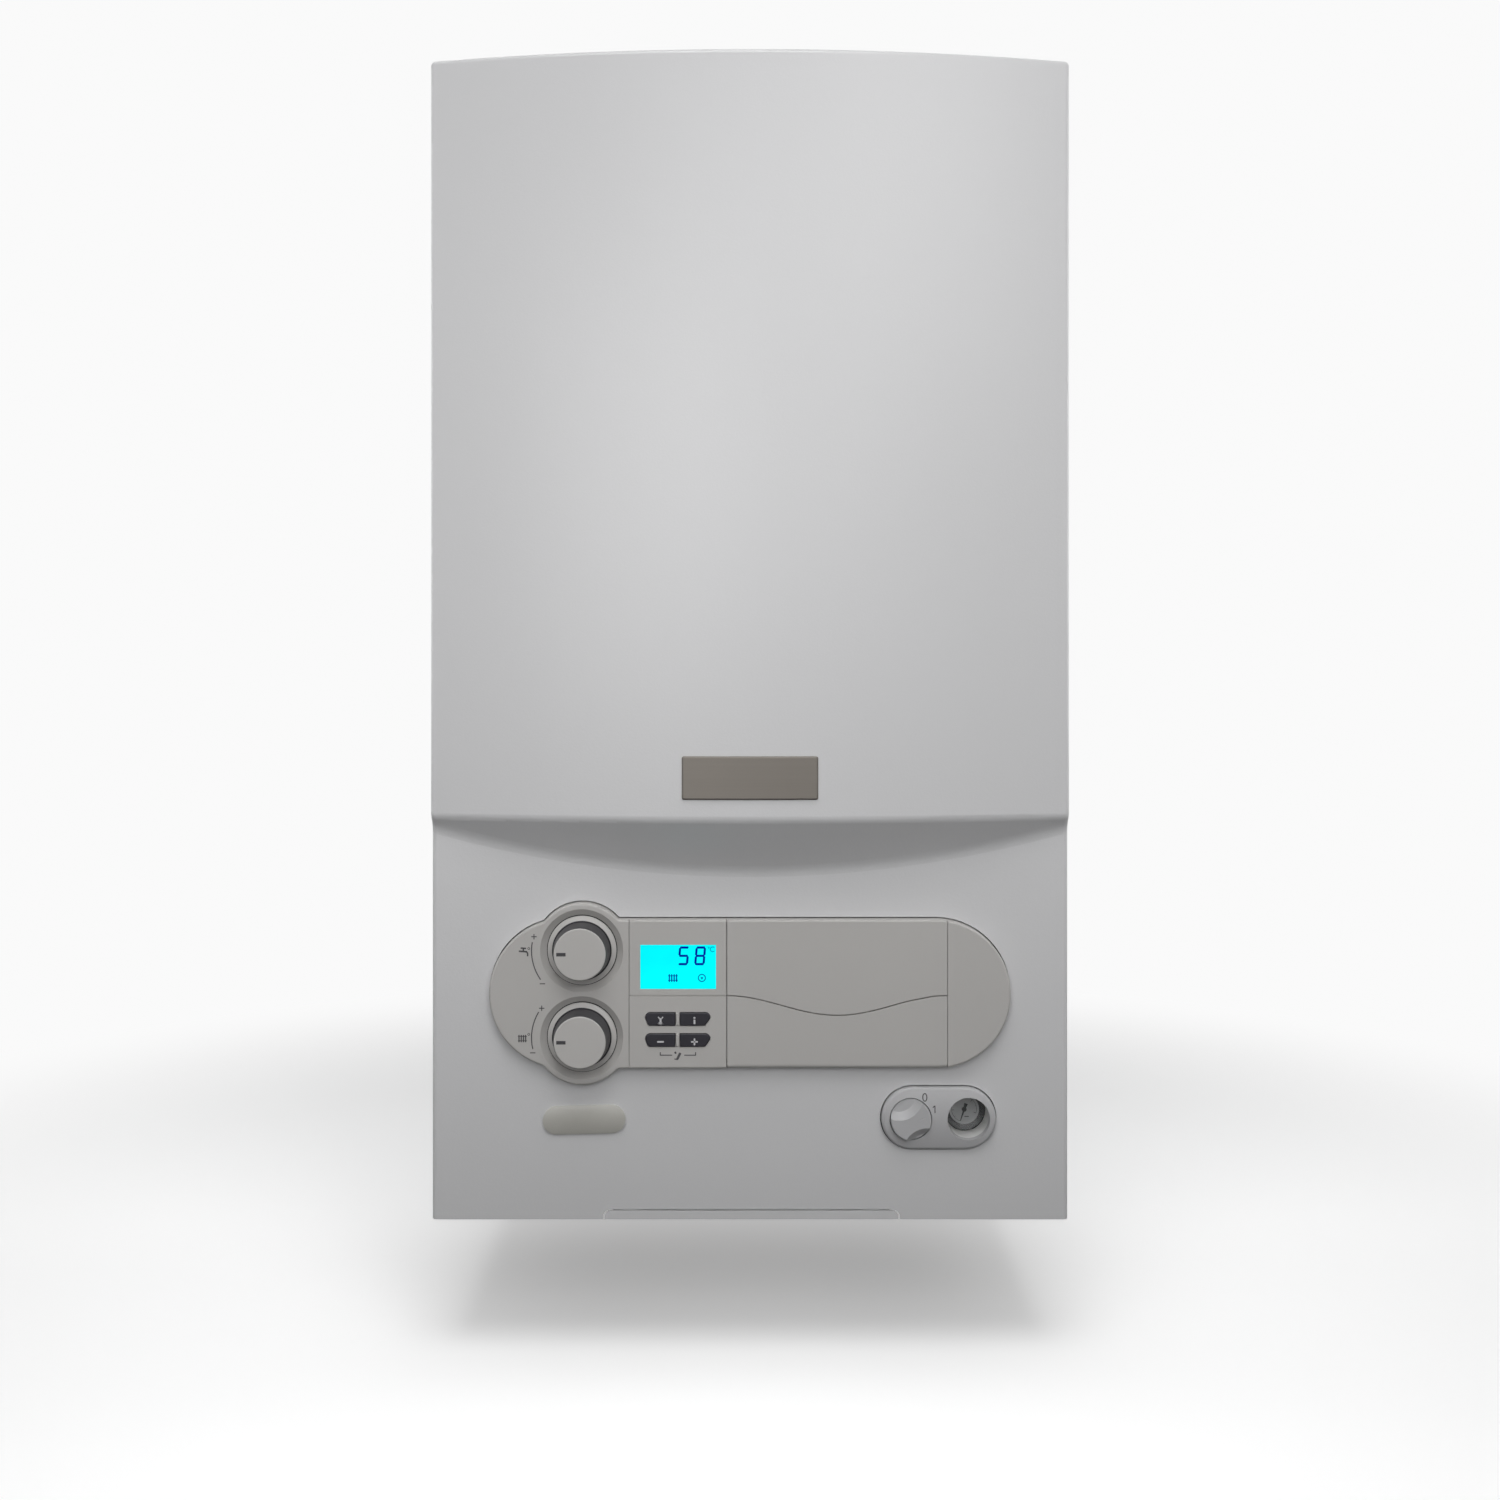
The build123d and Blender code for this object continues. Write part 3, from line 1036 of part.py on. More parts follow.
def union_nuts():
    """Hexagon nuts under the pipe plate, one for each pipe."""
    sizes = [(-PIPE_X, HEATING_R, HEATING_FLATS), (-TAP_X, TAP_R, TAP_FLATS), (0, GAS_R, GAS_FLATS),
             (TAP_X, TAP_R, TAP_FLATS), (PIPE_X, HEATING_R, HEATING_FLATS)]
    nuts = []
    for x, radius, flats in sizes:
        nut = hexagon(x, PIPE_DEPTH, flats, (PLATE_HEIGHT - NUT_H, PLATE_HEIGHT))
        nuts.append(nut - rod_z(x, PIPE_DEPTH, radius - NECK + 0.1, (-50, 50)))
    return Compound(children=nuts)


# ---------------------------------------------------------------- control panel
def control_box():
    """Moulded box behind the control face, open at the back, with a lobe for switch and gauge."""
    def body(inset, depth):
        main = block((-BOX_HALF_W + inset, BOX_HALF_W - inset), depth,
                     (BOX_BOTTOM + inset, BOX_TOP - inset))
        lobe = block((LOBE_X[0] + inset, LOBE_X[1] - inset), depth,
                     (LOBE_BOTTOM + inset, BOX_TOP - inset))
        return main + lobe

    box = body(0, (BOX_BACK, BOX_DEPTH)) - body(BOX_WALL, (BOX_BACK - 1, BOX_DEPTH - BOX_WALL))
    for sign in (-1, 1):
        ear_z = (BOX_BOTTOM + EAR_IN, BOX_TOP - EAR_IN)
        ear = sorted((sign * BOX_HALF_W, sign * (half_w - SHEET - EAR_GAP)))
        box += block(ear, (panel_front, panel_front + BOX_WALL), ear_z)
        arm = sorted((sign * BOX_HALF_W, sign * (BOX_HALF_W - BOX_WALL)))
        box += block(arm, (panel_front, BOX_BACK), ear_z)
    tube = (BOX_BACK, BOX_DEPTH + 1)
    return box - rod_y(GAUGE_X, BEZEL_Z, GAUGE_R + TUNNEL_WALL + 2 * SLIP, tube)


def flap_wave(lift):
    """The curved seam between the blank cover and the flap, as a list of points."""
    left, right = DISPLAY_X[1], COVER_RIGHT
    points = []
    for step in range(13):
        share = step / 12
        dip = WAVE_DIP * (1 - math.cos(2 * math.pi * share)) / 2
        points.append((left + share * (right - left), WAVE_HIGH - dip + lift))
    return points


def region_above_wave(lift):
    wave = Spline(*flap_wave(lift), tangents=((1, 0), (1, 0)))
    high = FASCIA_Z + FASCIA_H
    frame = Polyline(wave @ 1, (COVER_RIGHT, high), (DISPLAY_X[1], high), wave @ 0)
    return make_face([wave, frame])


def region_below_wave(lift):
    wave = Spline(*flap_wave(lift), tangents=((1, 0), (1, 0)))
    low = FASCIA_Z - FASCIA_H
    frame = Polyline(wave @ 1, (COVER_RIGHT, low), (DISPLAY_X[1], low), wave @ 0)
    return make_face([wave, frame])


def fascia_form(rounding=FASCIA_EDGE):
    """The whole front moulding with its rounded edge, before it is divided."""
    form = front_slab(fascia_outline(), (BOX_DEPTH, fascia_front))
    return fillet(form.faces().sort_by(Axis.Y)[0].edges(), rounding)


def cell(x, depth, z=(0.0, CASING_H)):
    """A part of the fascia's front layer, drawn in by half a seam on each side."""
    return block((x[0] + COVER_GAP, x[1] - COVER_GAP), depth, z)


def hinge_pin(radius, length):
    x = (DISPLAY_X[1] - length, COVER_RIGHT + length)
    return rod_x(hinge_depth, hinge_z, radius, x)


def bay_x():
    return (DISPLAY_X[1] + BAY_SIDE, COVER_RIGHT - BAY_SIDE)


def button_outline(column, row, grow=0.0):
    """Push button face: a square inner end, and an outer end that slants back below its nose."""
    on_left = column is BUTTON_LEFT
    inner, outer = (column[1], column[0]) if on_left else column
    slant = BUTTON_SLANT[0] if on_left else -BUTTON_SLANT[1]
    top = row + BUTTON_H / 2
    bottom = row - BUTTON_H / 2
    nose = row + BUTTON_NOSE
    face = make_face(Polyline((inner, top), (outer, top), (outer, nose), (outer + slant, bottom),
                              (inner, bottom), close=True))
    for spot, radius in zip(((outer, top), (outer, nose), (outer + slant, bottom)), BUTTON_CORNERS):
        corner = [v for v in face.vertices() if math.hypot(v.X - spot[0], v.Y - spot[1]) < 0.01]
        face = fillet(corner, radius)
    return offset(face, amount=grow) if grow else face


def control_fascia():
    """Base moulding: hollow behind, stepped back where the covers lie, with the bay behind the flap."""
    base = fascia_form()
    layer = (layer_back, fascia_front + 1)
    base -= block((DISPLAY_X[0], COVER_RIGHT), layer, (0, CASING_H))
    # hollow inside, 2.5 mm walls
    inner = fascia_outline(-MOULDING)
    left = front_slab(inner, (BOX_DEPTH - 1, dish_floor - MOULDING))
    middle = front_slab(inner, (BOX_DEPTH - 1, layer_back - MOULDING))
    step_x = (-CASING_W, DISPLAY_X[0] - MOULDING)
    base -= left & block(step_x, (0, fascia_front), (0, CASING_H))
    base -= middle & block((step_x[1], CASING_W), (0, fascia_front), (0, CASING_H))
    # controller bay behind the flap
    bay = bay_x()
    outer = (bay[0] - BAY_WALL, bay[1] + BAY_WALL)
    base += block(outer, (BOX_DEPTH, layer_back), (BAY_BOTTOM - BAY_WALL, BAY_TOP + BAY_WALL))
    base -= block(bay, (BOX_DEPTH + BAY_WALL, layer_back + 1), (BAY_BOTTOM, BAY_TOP))
    # knob dishes and shaft holes
    for z in knob_heights:
        dish = Cone(SKIRT_R + DISH_GAP, DISH_R, DISH_SINK)
        base -= Pos(KNOB_X, -(dish_floor + DISH_SINK / 2), z) * Rot(90, 0, 0) * dish
        base -= rod_y(KNOB_X, z, SHAFT_R + SLIP, (BOX_DEPTH, fascia_front))
    # window back and button holes
    side = SCREEN_W / 2 + 2
    rise = SCREEN_H / 2 + 1
    base -= block((WINDOW_X - side, WINDOW_X + side), (BOX_DEPTH + 1, layer_back + 1),
                  (WINDOW_Z - rise, WINDOW_Z + rise))
    for column in (BUTTON_LEFT, BUTTON_RIGHT):
        for row in BUTTON_ROWS:
            base -= front_slab(button_outline(column, row, SLIP), (BOX_DEPTH + 1, layer_back + 1))
    # groove for the flap's rounded lower edge, and its pin holes
    base -= rod_x(hinge_depth, hinge_z, HINGE_R + SLIP, (DISPLAY_X[1], COVER_RIGHT))
    return base - hinge_pin(PIN_R + SLIP / 2, PIN_LENGTH + SLIP)


def display_bezel():
    """Cover with the window aperture above and the button holes below."""
    bezel = fascia_form() & cell(DISPLAY_X, (layer_back, fascia_front + 1))
    bezel -= block((WINDOW_X - WINDOW_W / 2, WINDOW_X + WINDOW_W / 2),
                   (layer_back - 1, fascia_front + 1),
                   (WINDOW_Z - WINDOW_H / 2, WINDOW_Z + WINDOW_H / 2))
    for column in (BUTTON_LEFT, BUTTON_RIGHT):
        for row in BUTTON_ROWS:
            bezel -= front_slab(button_outline(column, row, SLIP), (layer_back - 1, fascia_front + 1))
    middle = (BUTTON_LEFT[1] + BUTTON_RIGHT[0]) / 2
    for row in BUTTON_ROWS:
        bar = block((middle - DIVIDER_W / 2, middle + DIVIDER_W / 2),
                    (fascia_front - 1, fascia_front + BUTTON_PROUD),
                    (row - DIVIDER_H / 2, row + DIVIDER_H / 2))
        bezel += fillet(bar.faces().sort_by(Axis.Y)[0].edges(), BUTTON_EDGE)
    groove = block((DISPLAY_X[0] - 1, DISPLAY_X[1] + 1), (fascia_front - WINDOW_SINK, fascia_front + 1),
                   (CELL_SEAM_Z - COVER_GAP, CELL_SEAM_Z + COVER_GAP))
    return bezel - groove - hinge_pin(PIN_R + SLIP / 2, PIN_LENGTH + SLIP)


def display_window():
    side = WINDOW_W / 2 - WINDOW_GAP
    tall = WINDOW_H / 2 - WINDOW_GAP
    return block((WINDOW_X - side, WINDOW_X + side), (layer_back, fascia_front - WINDOW_SINK),
                 (WINDOW_Z - tall, WINDOW_Z + tall))


def button(column, row):
    """Push button with a rim behind the moulding and a stem to its switch."""
    rim_front = layer_back - MOULDING - BUTTON_LIFT
    back = rim_front - BUTTON_RIM_T
    cap = front_slab(button_outline(column, row), (back, fascia_front + BUTTON_PROUD))
    cap = fillet(cap.faces().sort_by(Axis.Y)[0].edges(), BUTTON_EDGE)
    rim = front_slab(button_outline(column, row, BUTTON_RIM), (back, rim_front))
    stem = rod_y(sum(column) / 2, row, BUTTON_STEM_R,
                 (BOX_DEPTH + KEY_SWITCH_T + BUTTON_TRAVEL, back + 0.2))
    return cap + rim + stem


def blank_cover():
    """Plain cover above the flap."""
    x = (DISPLAY_X[1], COVER_RIGHT)
    layer = (layer_back, fascia_front + 1)
    above = front_slab(region_above_wave(COVER_GAP), layer)
    return (fascia_form() & cell(x, layer)) & above


def controller_flap():
    """Wave-edged flap that folds down round its lower edge, with a pin at each end."""
    x = (DISPLAY_X[1], COVER_RIGHT)
    layer = (layer_back + FLAP_GAP, fascia_front + 1)
    below = front_slab(region_below_wave(-COVER_GAP), layer)
    flap = (fascia_form(HINGE_R) & cell(x, layer)) & below
    return flap + (hinge_pin(PIN_R, PIN_LENGTH) - cell(x, (0, 2 * fascia_front))) + knuckle(x)


def knuckle(x):
    """Round core of the flap's lower edge, so that the pins have a full section to grow from."""
    ends = (x[0] + COVER_GAP, x[1] - COVER_GAP)
    return rod_x(hinge_depth, hinge_z, PIN_R, ends)


def main_board():
    """Display board with its switches and screen block, and the power board behind it."""
    top = knob_heights[0] + 8
    board = block((DISPLAY_X[0] + 4, DISPLAY_X[1] - 6), (BOX_DEPTH, BOX_DEPTH + BOARD_T),
                  (BOARD_BOTTOM, top))
    board += block((WINDOW_X - SCREEN_W / 2, WINDOW_X + SCREEN_W / 2), (BOX_DEPTH, layer_back),
                   (WINDOW_Z - SCREEN_H / 2, WINDOW_Z + SCREEN_H / 2))
    half = KEY_SWITCH / 2
    for column in (BUTTON_LEFT, BUTTON_RIGHT):
        for row in BUTTON_ROWS:
            mid = sum(column) / 2
            board += block((mid - half, mid + half), (BOX_DEPTH, BOX_DEPTH + KEY_SWITCH_T),
                           (row - half, row + half))
    inside = BOX_DEPTH - BOX_WALL
    face = inside - POWER_BOARD_BEHIND
    rear = face - BOARD_T
    power = block(POWER_BOARD_X, (rear, face), (BOX_BOTTOM + 12, BOX_TOP - 12))
    for x in (POWER_BOARD_X[0] + 10, POWER_BOARD_X[1] - 10):
        for z in (BOX_BOTTOM + 20, BOX_TOP - 20):
            power += rod_y(x, z, 3, (face - 1, inside))
    # a transformer on the left and four relays beside it
    low = BOX_BOTTOM + 30
    power += block((POWER_BOARD_X[0] + 20, POWER_BOARD_X[0] + 70), (rear - 28.4, rear), (low, low + 45))
    for number in range(4):
        x = POWER_BOARD_X[0] + 100 + number * 26
        power += block((x, x + 18), (rear - 16.4, rear), (low, low + 20))
    return Compound(children=[board, power])


def rotary_controls():
    """Two potentiometers and the mains switch, on the front of the control box."""
    places = [(KNOB_X, knob_heights[0]), (KNOB_X, knob_heights[1]), (SWITCH_X, BEZEL_Z)]
    controls = []
    for x, z in places:
        body = rod_y(x, z, CONTROL_R, (BOX_DEPTH, control_depth))
        controls.append(body - rod_y(x, z, SHAFT_R + SLIP, (BOX_DEPTH + 1, control_depth + 1)))
    return Compound(children=controls)


def temperature_knob(z):
    """Sloping skirt, tapered cap with a pointer groove at nine o'clock, and shaft."""
    skirt_front = skirt_back + SKIRT_T
    rim_front = skirt_front - SKIRT_SLOPE
    skirt = rod_y(KNOB_X, z, SKIRT_R, (skirt_back, rim_front))
    slope = Cone(SKIRT_R, CAP_BASE_R, SKIRT_SLOPE)
    skirt += Pos(KNOB_X, -(rim_front + SKIRT_SLOPE / 2), z) * Rot(90, 0, 0) * slope
    cap = Pos(KNOB_X, -(skirt_front + CAP_H / 2), z) * Rot(90, 0, 0) * Cone(CAP_BASE_R, CAP_FACE_R, CAP_H)
    cap = fillet(cap.faces().sort_by(Axis.Y)[0].edges(), CAP_EDGE)
    face = skirt_front + CAP_H
    mark_x = KNOB_X - CAP_FACE_R + MARK_IN
    mark = block((mark_x, mark_x + MARK_L), (face - MARK_SINK, face + 1),
                 (z - MARK_W / 2, z + MARK_W / 2))
    shaft = rod_y(KNOB_X, z, SHAFT_R, (BOX_DEPTH + SHAFT_END, skirt_front))
    return skirt + cap + shaft - mark


def bezel_crown(front, sink=0.0):
    """Crowned front of the lower moulding: a lying cylinder as wide as the moulding."""
    radius = BEZEL_CROWN_R - sink
    return Pos(BEZEL_X, BEZEL_CROWN_R - front, BEZEL_Z) * Rot(0, 90, 0) * Cylinder(radius, 2 * BEZEL_W)


def gauge_bezel():
    """Lower moulding, crowned in front, with the switch hole and the sight tube to the gauge."""
    front = FACE_DEPTH + BEZEL_PROUD
    bezel = front_slab(bezel_outline(), (BOX_DEPTH, front)) & bezel_crown(front)
    rim = [edge for edge in bezel.edges() if edge.bounding_box().max.Y < -FACE_DEPTH]
    bezel = fillet(rim, BEZEL_EDGE)
    hollow = front_slab(bezel_outline(-MOULDING), (BOX_DEPTH - 1, front - MOULDING))
    bezel -= hollow & bezel_crown(front, MOULDING)
    collar_r = SWITCH_R + SWITCH_GAP + TUNNEL_WALL
    tube = rod_y(GAUGE_X, BEZEL_Z, GAUGE_R + TUNNEL_WALL, (GAUGE_SEAT_DEPTH, front))
    bezel += tube & bezel_crown(front, TUNNEL_WALL / 2)
    collar = rod_y(SWITCH_X, BEZEL_Z, collar_r, (control_depth + 1, front))
    bezel += collar & bezel_crown(front, TUNNEL_WALL / 2)
    bezel -= rod_y(SWITCH_X, BEZEL_Z, SWITCH_R + SWITCH_GAP, (control_depth, front + 1))
    return bezel - rod_y(GAUGE_X, BEZEL_Z, GAUGE_R, (GAUGE_SEAT_DEPTH - 1, front + 1))


def power_knob():
    """Round knob with two sloping scoops that leave a waisted grip across it."""
    back = control_depth + SLIP
    front = FACE_DEPTH + SWITCH_PROUD
    knob = rod_y(SWITCH_X, BEZEL_Z, SWITCH_R, (back, front))
    knob = fillet(knob.edges().sort_by(Axis.Y)[0], SWITCH_EDGE)
    turn = Pos(SWITCH_X, 0, BEZEL_Z) * Rot(0, -GRIP_ANGLE, 0)
    scoop = Rot(90, 0, 0) * Cone(*SCOOP_R, SCOOP_SINK)
    over = Rot(90, 0, 0) * Cylinder(SCOOP_R[1], SCOOP_SINK)
    for reach in SCOOP_REACH:
        knob -= turn * Pos(0, -(front - SCOOP_SINK / 2), reach) * scoop
        knob -= turn * Pos(0, -(front + SCOOP_SINK / 2), reach) * over
    mark = block((SWITCH_R - SWITCH_MARK[1], SWITCH_R - SWITCH_MARK[0]),
                 (front - MARK_SINK, front + 1),
                 (-SWITCH_MARK_DROP - SWITCH_MARK_W / 2, -SWITCH_MARK_DROP + SWITCH_MARK_W / 2))
    knob -= turn * mark
    return knob + rod_y(SWITCH_X, BEZEL_Z, SHAFT_R, (BOX_DEPTH + SHAFT_END, back + 1))


def gauge_case():
    """Pressure gauge body with a sloping black rim round the dial, and its pressure port."""
    seat = GAUGE_SEAT_DEPTH
    case = rod_y(GAUGE_X, BEZEL_Z, GAUGE_CASE_R, (seat - GAUGE_CASE_L, seat))
    rear = seat - GAUGE_CASE_L
    case += rod_y(GAUGE_X, BEZEL_Z, GAUGE_PORT_R, (rear - GAUGE_PORT_L, rear))
    rim = Cone(DIAL_R, GAUGE_R - 0.6, GAUGE_RIM_H)
    case -= Pos(GAUGE_X, -(seat - GAUGE_RIM_H / 2), BEZEL_Z) * Rot(90, 0, 0) * rim
    case -= rod_y(GAUGE_X, BEZEL_Z, DIAL_R, (seat - DIAL_SINK, seat))
    return case - rod_y(GAUGE_X, BEZEL_Z, NEEDLE_PIN_R + 0.2, (seat - DIAL_SINK - 3, seat))


def gauge_needle():
    """Pointer with a broad tail and a thin tip, on its pin."""
    floor = GAUGE_SEAT_DEPTH - DIAL_SINK
    depth = (floor + NEEDLE_LIFT, floor + NEEDLE_LIFT + NEEDLE_T)
    outline = make_face(Polyline((-1.3, 4.2), (1.3, 4.2), (0.7, 0), (0.2, -8.6), (-0.2, -8.6),
                                 (-0.7, 0), close=True)) + Circle(1.7)
    needle = extrude(Plane.XZ.offset(depth[0]) * outline, amount=NEEDLE_T)
    needle = Pos(GAUGE_X, 0, BEZEL_Z) * Rot(0, NEEDLE_ANGLE, 0) * needle
    return needle + rod_y(GAUGE_X, BEZEL_Z, NEEDLE_PIN_R, (floor - 2, depth[1]))


def gauge_lens():
    seat = GAUGE_SEAT_DEPTH
    return rod_y(GAUGE_X, BEZEL_Z, GAUGE_R - 0.2, (seat, seat + LENS_T))


# ---------------------------------------------------------------- write every piece
pieces = {
    "back_frame": back_frame(),
    "wall_bracket": wall_bracket(),
    "left_side_panel": side_panel(-1),
    "right_side_panel": side_panel(1),
    "top_plate": top_plate(),
    "pipe_plate": pipe_plate(),
    "front_casing": front_casing(),
    "casing_screws": casing_screws(),
    "nameplate": nameplate(),
    "model_badge": model_badge(),
    "bottom_access_cap": bottom_access_cap(),
    "air_chamber": air_chamber(),
    "chamber_cover": chamber_cover(),
    "chamber_seal": chamber_seal(),
    "sight_glass": sight_glass(),
    "combustion_box": combustion_box(),
    "burner": burner(),
    "gas_manifold": gas_manifold(),
    "electrodes": electrodes(),
    "heat_exchanger": heat_exchanger(),
    "flue_hood": flue_hood(),
    "fan_housing": fan_housing(),
    "fan_impeller": fan_impeller(),
    "fan_motor": fan_motor(),
    "flue_adapter": flue_adapter(),
    "air_pressure_switch": air_pressure_switch(),
    "expansion_vessel": expansion_vessel(),
    "pump_housing": pump_housing(),
    "pump_motor": pump_motor(),
    "pump_rotor": pump_rotor(),
    "air_vent": air_vent(),
    "plate_heat_exchanger": plate_heat_exchanger(),
    "diverter_valve": diverter_valve(),
    "diverter_motor": diverter_motor(),
    "safety_valve": safety_valve(),
    "safety_valve_knob": safety_valve_knob(),
    "gas_valve": gas_valve(),
    "water_pipes": water_pipes(),
    "gas_pipe": gas_pipe(),
    "union_nuts": union_nuts(),
    "control_box": control_box(),
    "control_fascia": control_fascia(),
    "main_board": main_board(),
    "rotary_controls": rotary_controls(),
    "display_window": display_window(),
    "display_bezel": display_bezel(),
    "hot_water_knob": temperature_knob(knob_heights[0]),
    "heating_knob": temperature_knob(knob_heights[1]),
    "reset_button": button(BUTTON_LEFT, BUTTON_ROWS[0]),
    "info_button": button(BUTTON_RIGHT, BUTTON_ROWS[0]),
    "minus_button": button(BUTTON_LEFT, BUTTON_ROWS[1]),
    "plus_button": button(BUTTON_RIGHT, BUTTON_ROWS[1]),
    "blank_cover": blank_cover(),
    "controller_flap": controller_flap(),
    "gauge_bezel": gauge_bezel(),
    "power_knob": power_knob(),
    "gauge_case": gauge_case(),
    "gauge_needle": gauge_needle(),
    "gauge_lens": gauge_lens(),
    "cable_gland": cable_gland(),
}

os.makedirs("parts", exist_ok=True)
for name, piece in pieces.items():
    hung = Pos(0, 0, -HANG_HEIGHT) * piece
    export_step(hung, f"parts/{name}.step")
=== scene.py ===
import bpy
import math
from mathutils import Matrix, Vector


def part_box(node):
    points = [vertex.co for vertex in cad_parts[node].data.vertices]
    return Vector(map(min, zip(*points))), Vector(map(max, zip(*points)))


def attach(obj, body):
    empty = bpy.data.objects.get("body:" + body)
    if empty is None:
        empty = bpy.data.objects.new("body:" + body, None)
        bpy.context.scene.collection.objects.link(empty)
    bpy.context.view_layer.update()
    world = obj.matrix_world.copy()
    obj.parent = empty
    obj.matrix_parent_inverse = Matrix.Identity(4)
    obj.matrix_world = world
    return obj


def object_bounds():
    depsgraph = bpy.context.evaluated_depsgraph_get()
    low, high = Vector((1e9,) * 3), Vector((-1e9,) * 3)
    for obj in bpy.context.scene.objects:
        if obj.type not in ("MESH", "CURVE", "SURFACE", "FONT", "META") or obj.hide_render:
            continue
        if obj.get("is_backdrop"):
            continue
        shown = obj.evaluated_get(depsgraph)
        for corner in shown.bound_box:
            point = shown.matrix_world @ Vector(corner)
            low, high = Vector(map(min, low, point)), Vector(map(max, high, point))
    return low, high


# Wall-hung combi boiler, dressed in the order in which it is put together: the stand for the picture
# first, then the chassis against the wall, what hangs in it, the control panel and the casing over it.
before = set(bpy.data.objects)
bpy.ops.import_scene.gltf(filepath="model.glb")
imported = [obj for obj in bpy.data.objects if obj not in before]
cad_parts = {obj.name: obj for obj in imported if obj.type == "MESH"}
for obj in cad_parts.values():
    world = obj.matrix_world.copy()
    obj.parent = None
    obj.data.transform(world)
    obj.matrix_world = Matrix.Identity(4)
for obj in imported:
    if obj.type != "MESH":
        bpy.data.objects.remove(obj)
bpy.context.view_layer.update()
bpy.ops.object.select_all(action="DESELECT")


# --- Picture stand -------------------------------------------------------------------------------
# A level camera in front of the control panel, a pale floor a hand's breadth under the casing, two
# large soft boxes overhead, three smaller ones in front, one at each flank, and a pale room.
IMAGE = 1500
LENS_PIXELS = 1782          # focal length in pixels of a 1500-pixel frame
PRINCIPAL_DROP = 110        # pixels that the camera's axis lies above the picture's middle
SENSOR = 36
CAMERA_PLACE = (0, -1.538, -0.299)
FLOOR_Z = -0.80
FLOOR_R = 6
FLOOR_SIDES = 96
PALE = 0.955                # the backdrop, and the floor far from the boiler
SKY = (0.0, 0.29)           # the room's light from straight below and from straight above
FLOOR_SEEN = 1.69           # floor near the boiler as the camera sees it: more than 1, so that the dim
                            # light of the room still leaves it white, with the shadow on it
FLOOR_FADE = (0.55, 1.1)    # distance over which it passes into the even tone far off
FLOOR_FAR_SHARE = 0.2       # of that tone already mixed in close by
FLOOR_BOUNCE = (0.03, 0.85)  # what the floor gives back to the boiler, close by and far off
FLOOR_BOUNCE_REACH = (0.35, 1.6)

camera = bpy.data.cameras.new("photo_camera")
camera.sensor_width = SENSOR
camera.lens = LENS_PIXELS / IMAGE * SENSOR
camera.shift_y = -PRINCIPAL_DROP / IMAGE
camera_stand = bpy.data.objects.new("photo_camera", camera)
camera_stand.location = CAMERA_PLACE
camera_stand.rotation_euler = (math.radians(90), 0, 0)
bpy.context.scene.collection.objects.link(camera_stand)
bpy.context.scene.camera = camera_stand
bpy.context.scene.view_settings.view_transform = "Standard"


def soft_lamp(name, place, aim, size, power, spread):
    """A square soft box with a grid: its place, the point it faces, and the width of its beam."""
    lamp = bpy.data.lights.new(name, "AREA")
    lamp.shape = "SQUARE"
    lamp.size = size
    lamp.energy = power
    lamp.spread = math.radians(spread)
    stand = bpy.data.objects.new(name, lamp)
    stand.location = place
    stand.rotation_euler = (Vector(place) - Vector(aim)).to_track_quat("Z", "Y").to_euler()
    bpy.context.scene.collection.objects.link(stand)


soft_lamp("front_lamp", (0.1, -1.9, 0.22), (0, -0.3, -0.2), 0.9, 0.93, 90)
soft_lamp("side_lamp", (0.9, -2.2, 0.7), (0, -0.3, -0.1), 1.0, 0.87, 60)
soft_lamp("fill_lamp", (-0.35, -1.5, -0.1), (-0.05, -0.3, -0.3), 0.6, 0.62, 100)
soft_lamp("top_lamp", (0, -1.3, 1.5), (0, -0.3, -0.6), 1.2, 2.45, 90)
soft_lamp("high_lamp", (0, -2.1, 2.3), (0, -0.3, -0.35), 1.6, 1.72, 60)
for side, name in ((-1, "left_flank_lamp"), (1, "right_flank_lamp")):
    soft_lamp(name, (2.4 * side, 0.45, 0.1), (0.22 * side, 0, -0.2), 1.2, 1.4, 45)


def map_range(nodes, source, target, smooth=False):
    """A node that carries values from one pair of limits to another."""
    scale = nodes.new("ShaderNodeMapRange")
    if smooth:
        scale.interpolation_type = "SMOOTHSTEP"
    scale.inputs["From Min"].default_value, scale.inputs["From Max"].default_value = source
    scale.inputs["To Min"].default_value, scale.inputs["To Max"].default_value = target
    return scale


def sum_up(nodes, operation, fixed=None):
    """A node for one sum, with its second number where that is fixed."""
    step = nodes.new("ShaderNodeMath")
    step.operation = operation
    if fixed is not None:
        step.inputs[1].default_value = fixed
    return step


room = bpy.data.worlds.new("pale_room")
bpy.context.scene.world = room
room.use_nodes = True
nodes = room.node_tree.nodes
link = room.node_tree.links.new
sky = nodes["Background"]
sky.inputs["Color"].default_value = (1, 1, 1, 1)
heading = nodes.new("ShaderNodeTexCoord")
climb = nodes.new("ShaderNodeSeparateXYZ")
ceiling = map_range(nodes, (-1, 1), SKY)
link(heading.outputs["Generated"], climb.inputs["Vector"])
link(climb.outputs["Z"], ceiling.inputs["Value"])
link(ceiling.outputs["Result"], sky.inputs["Strength"])
backdrop = nodes.new("ShaderNodeBackground")
backdrop.inputs["Color"].default_value = (PALE, PALE, PALE, 1)
rays = nodes.new("ShaderNodeLightPath")
choose = nodes.new("ShaderNodeMixShader")
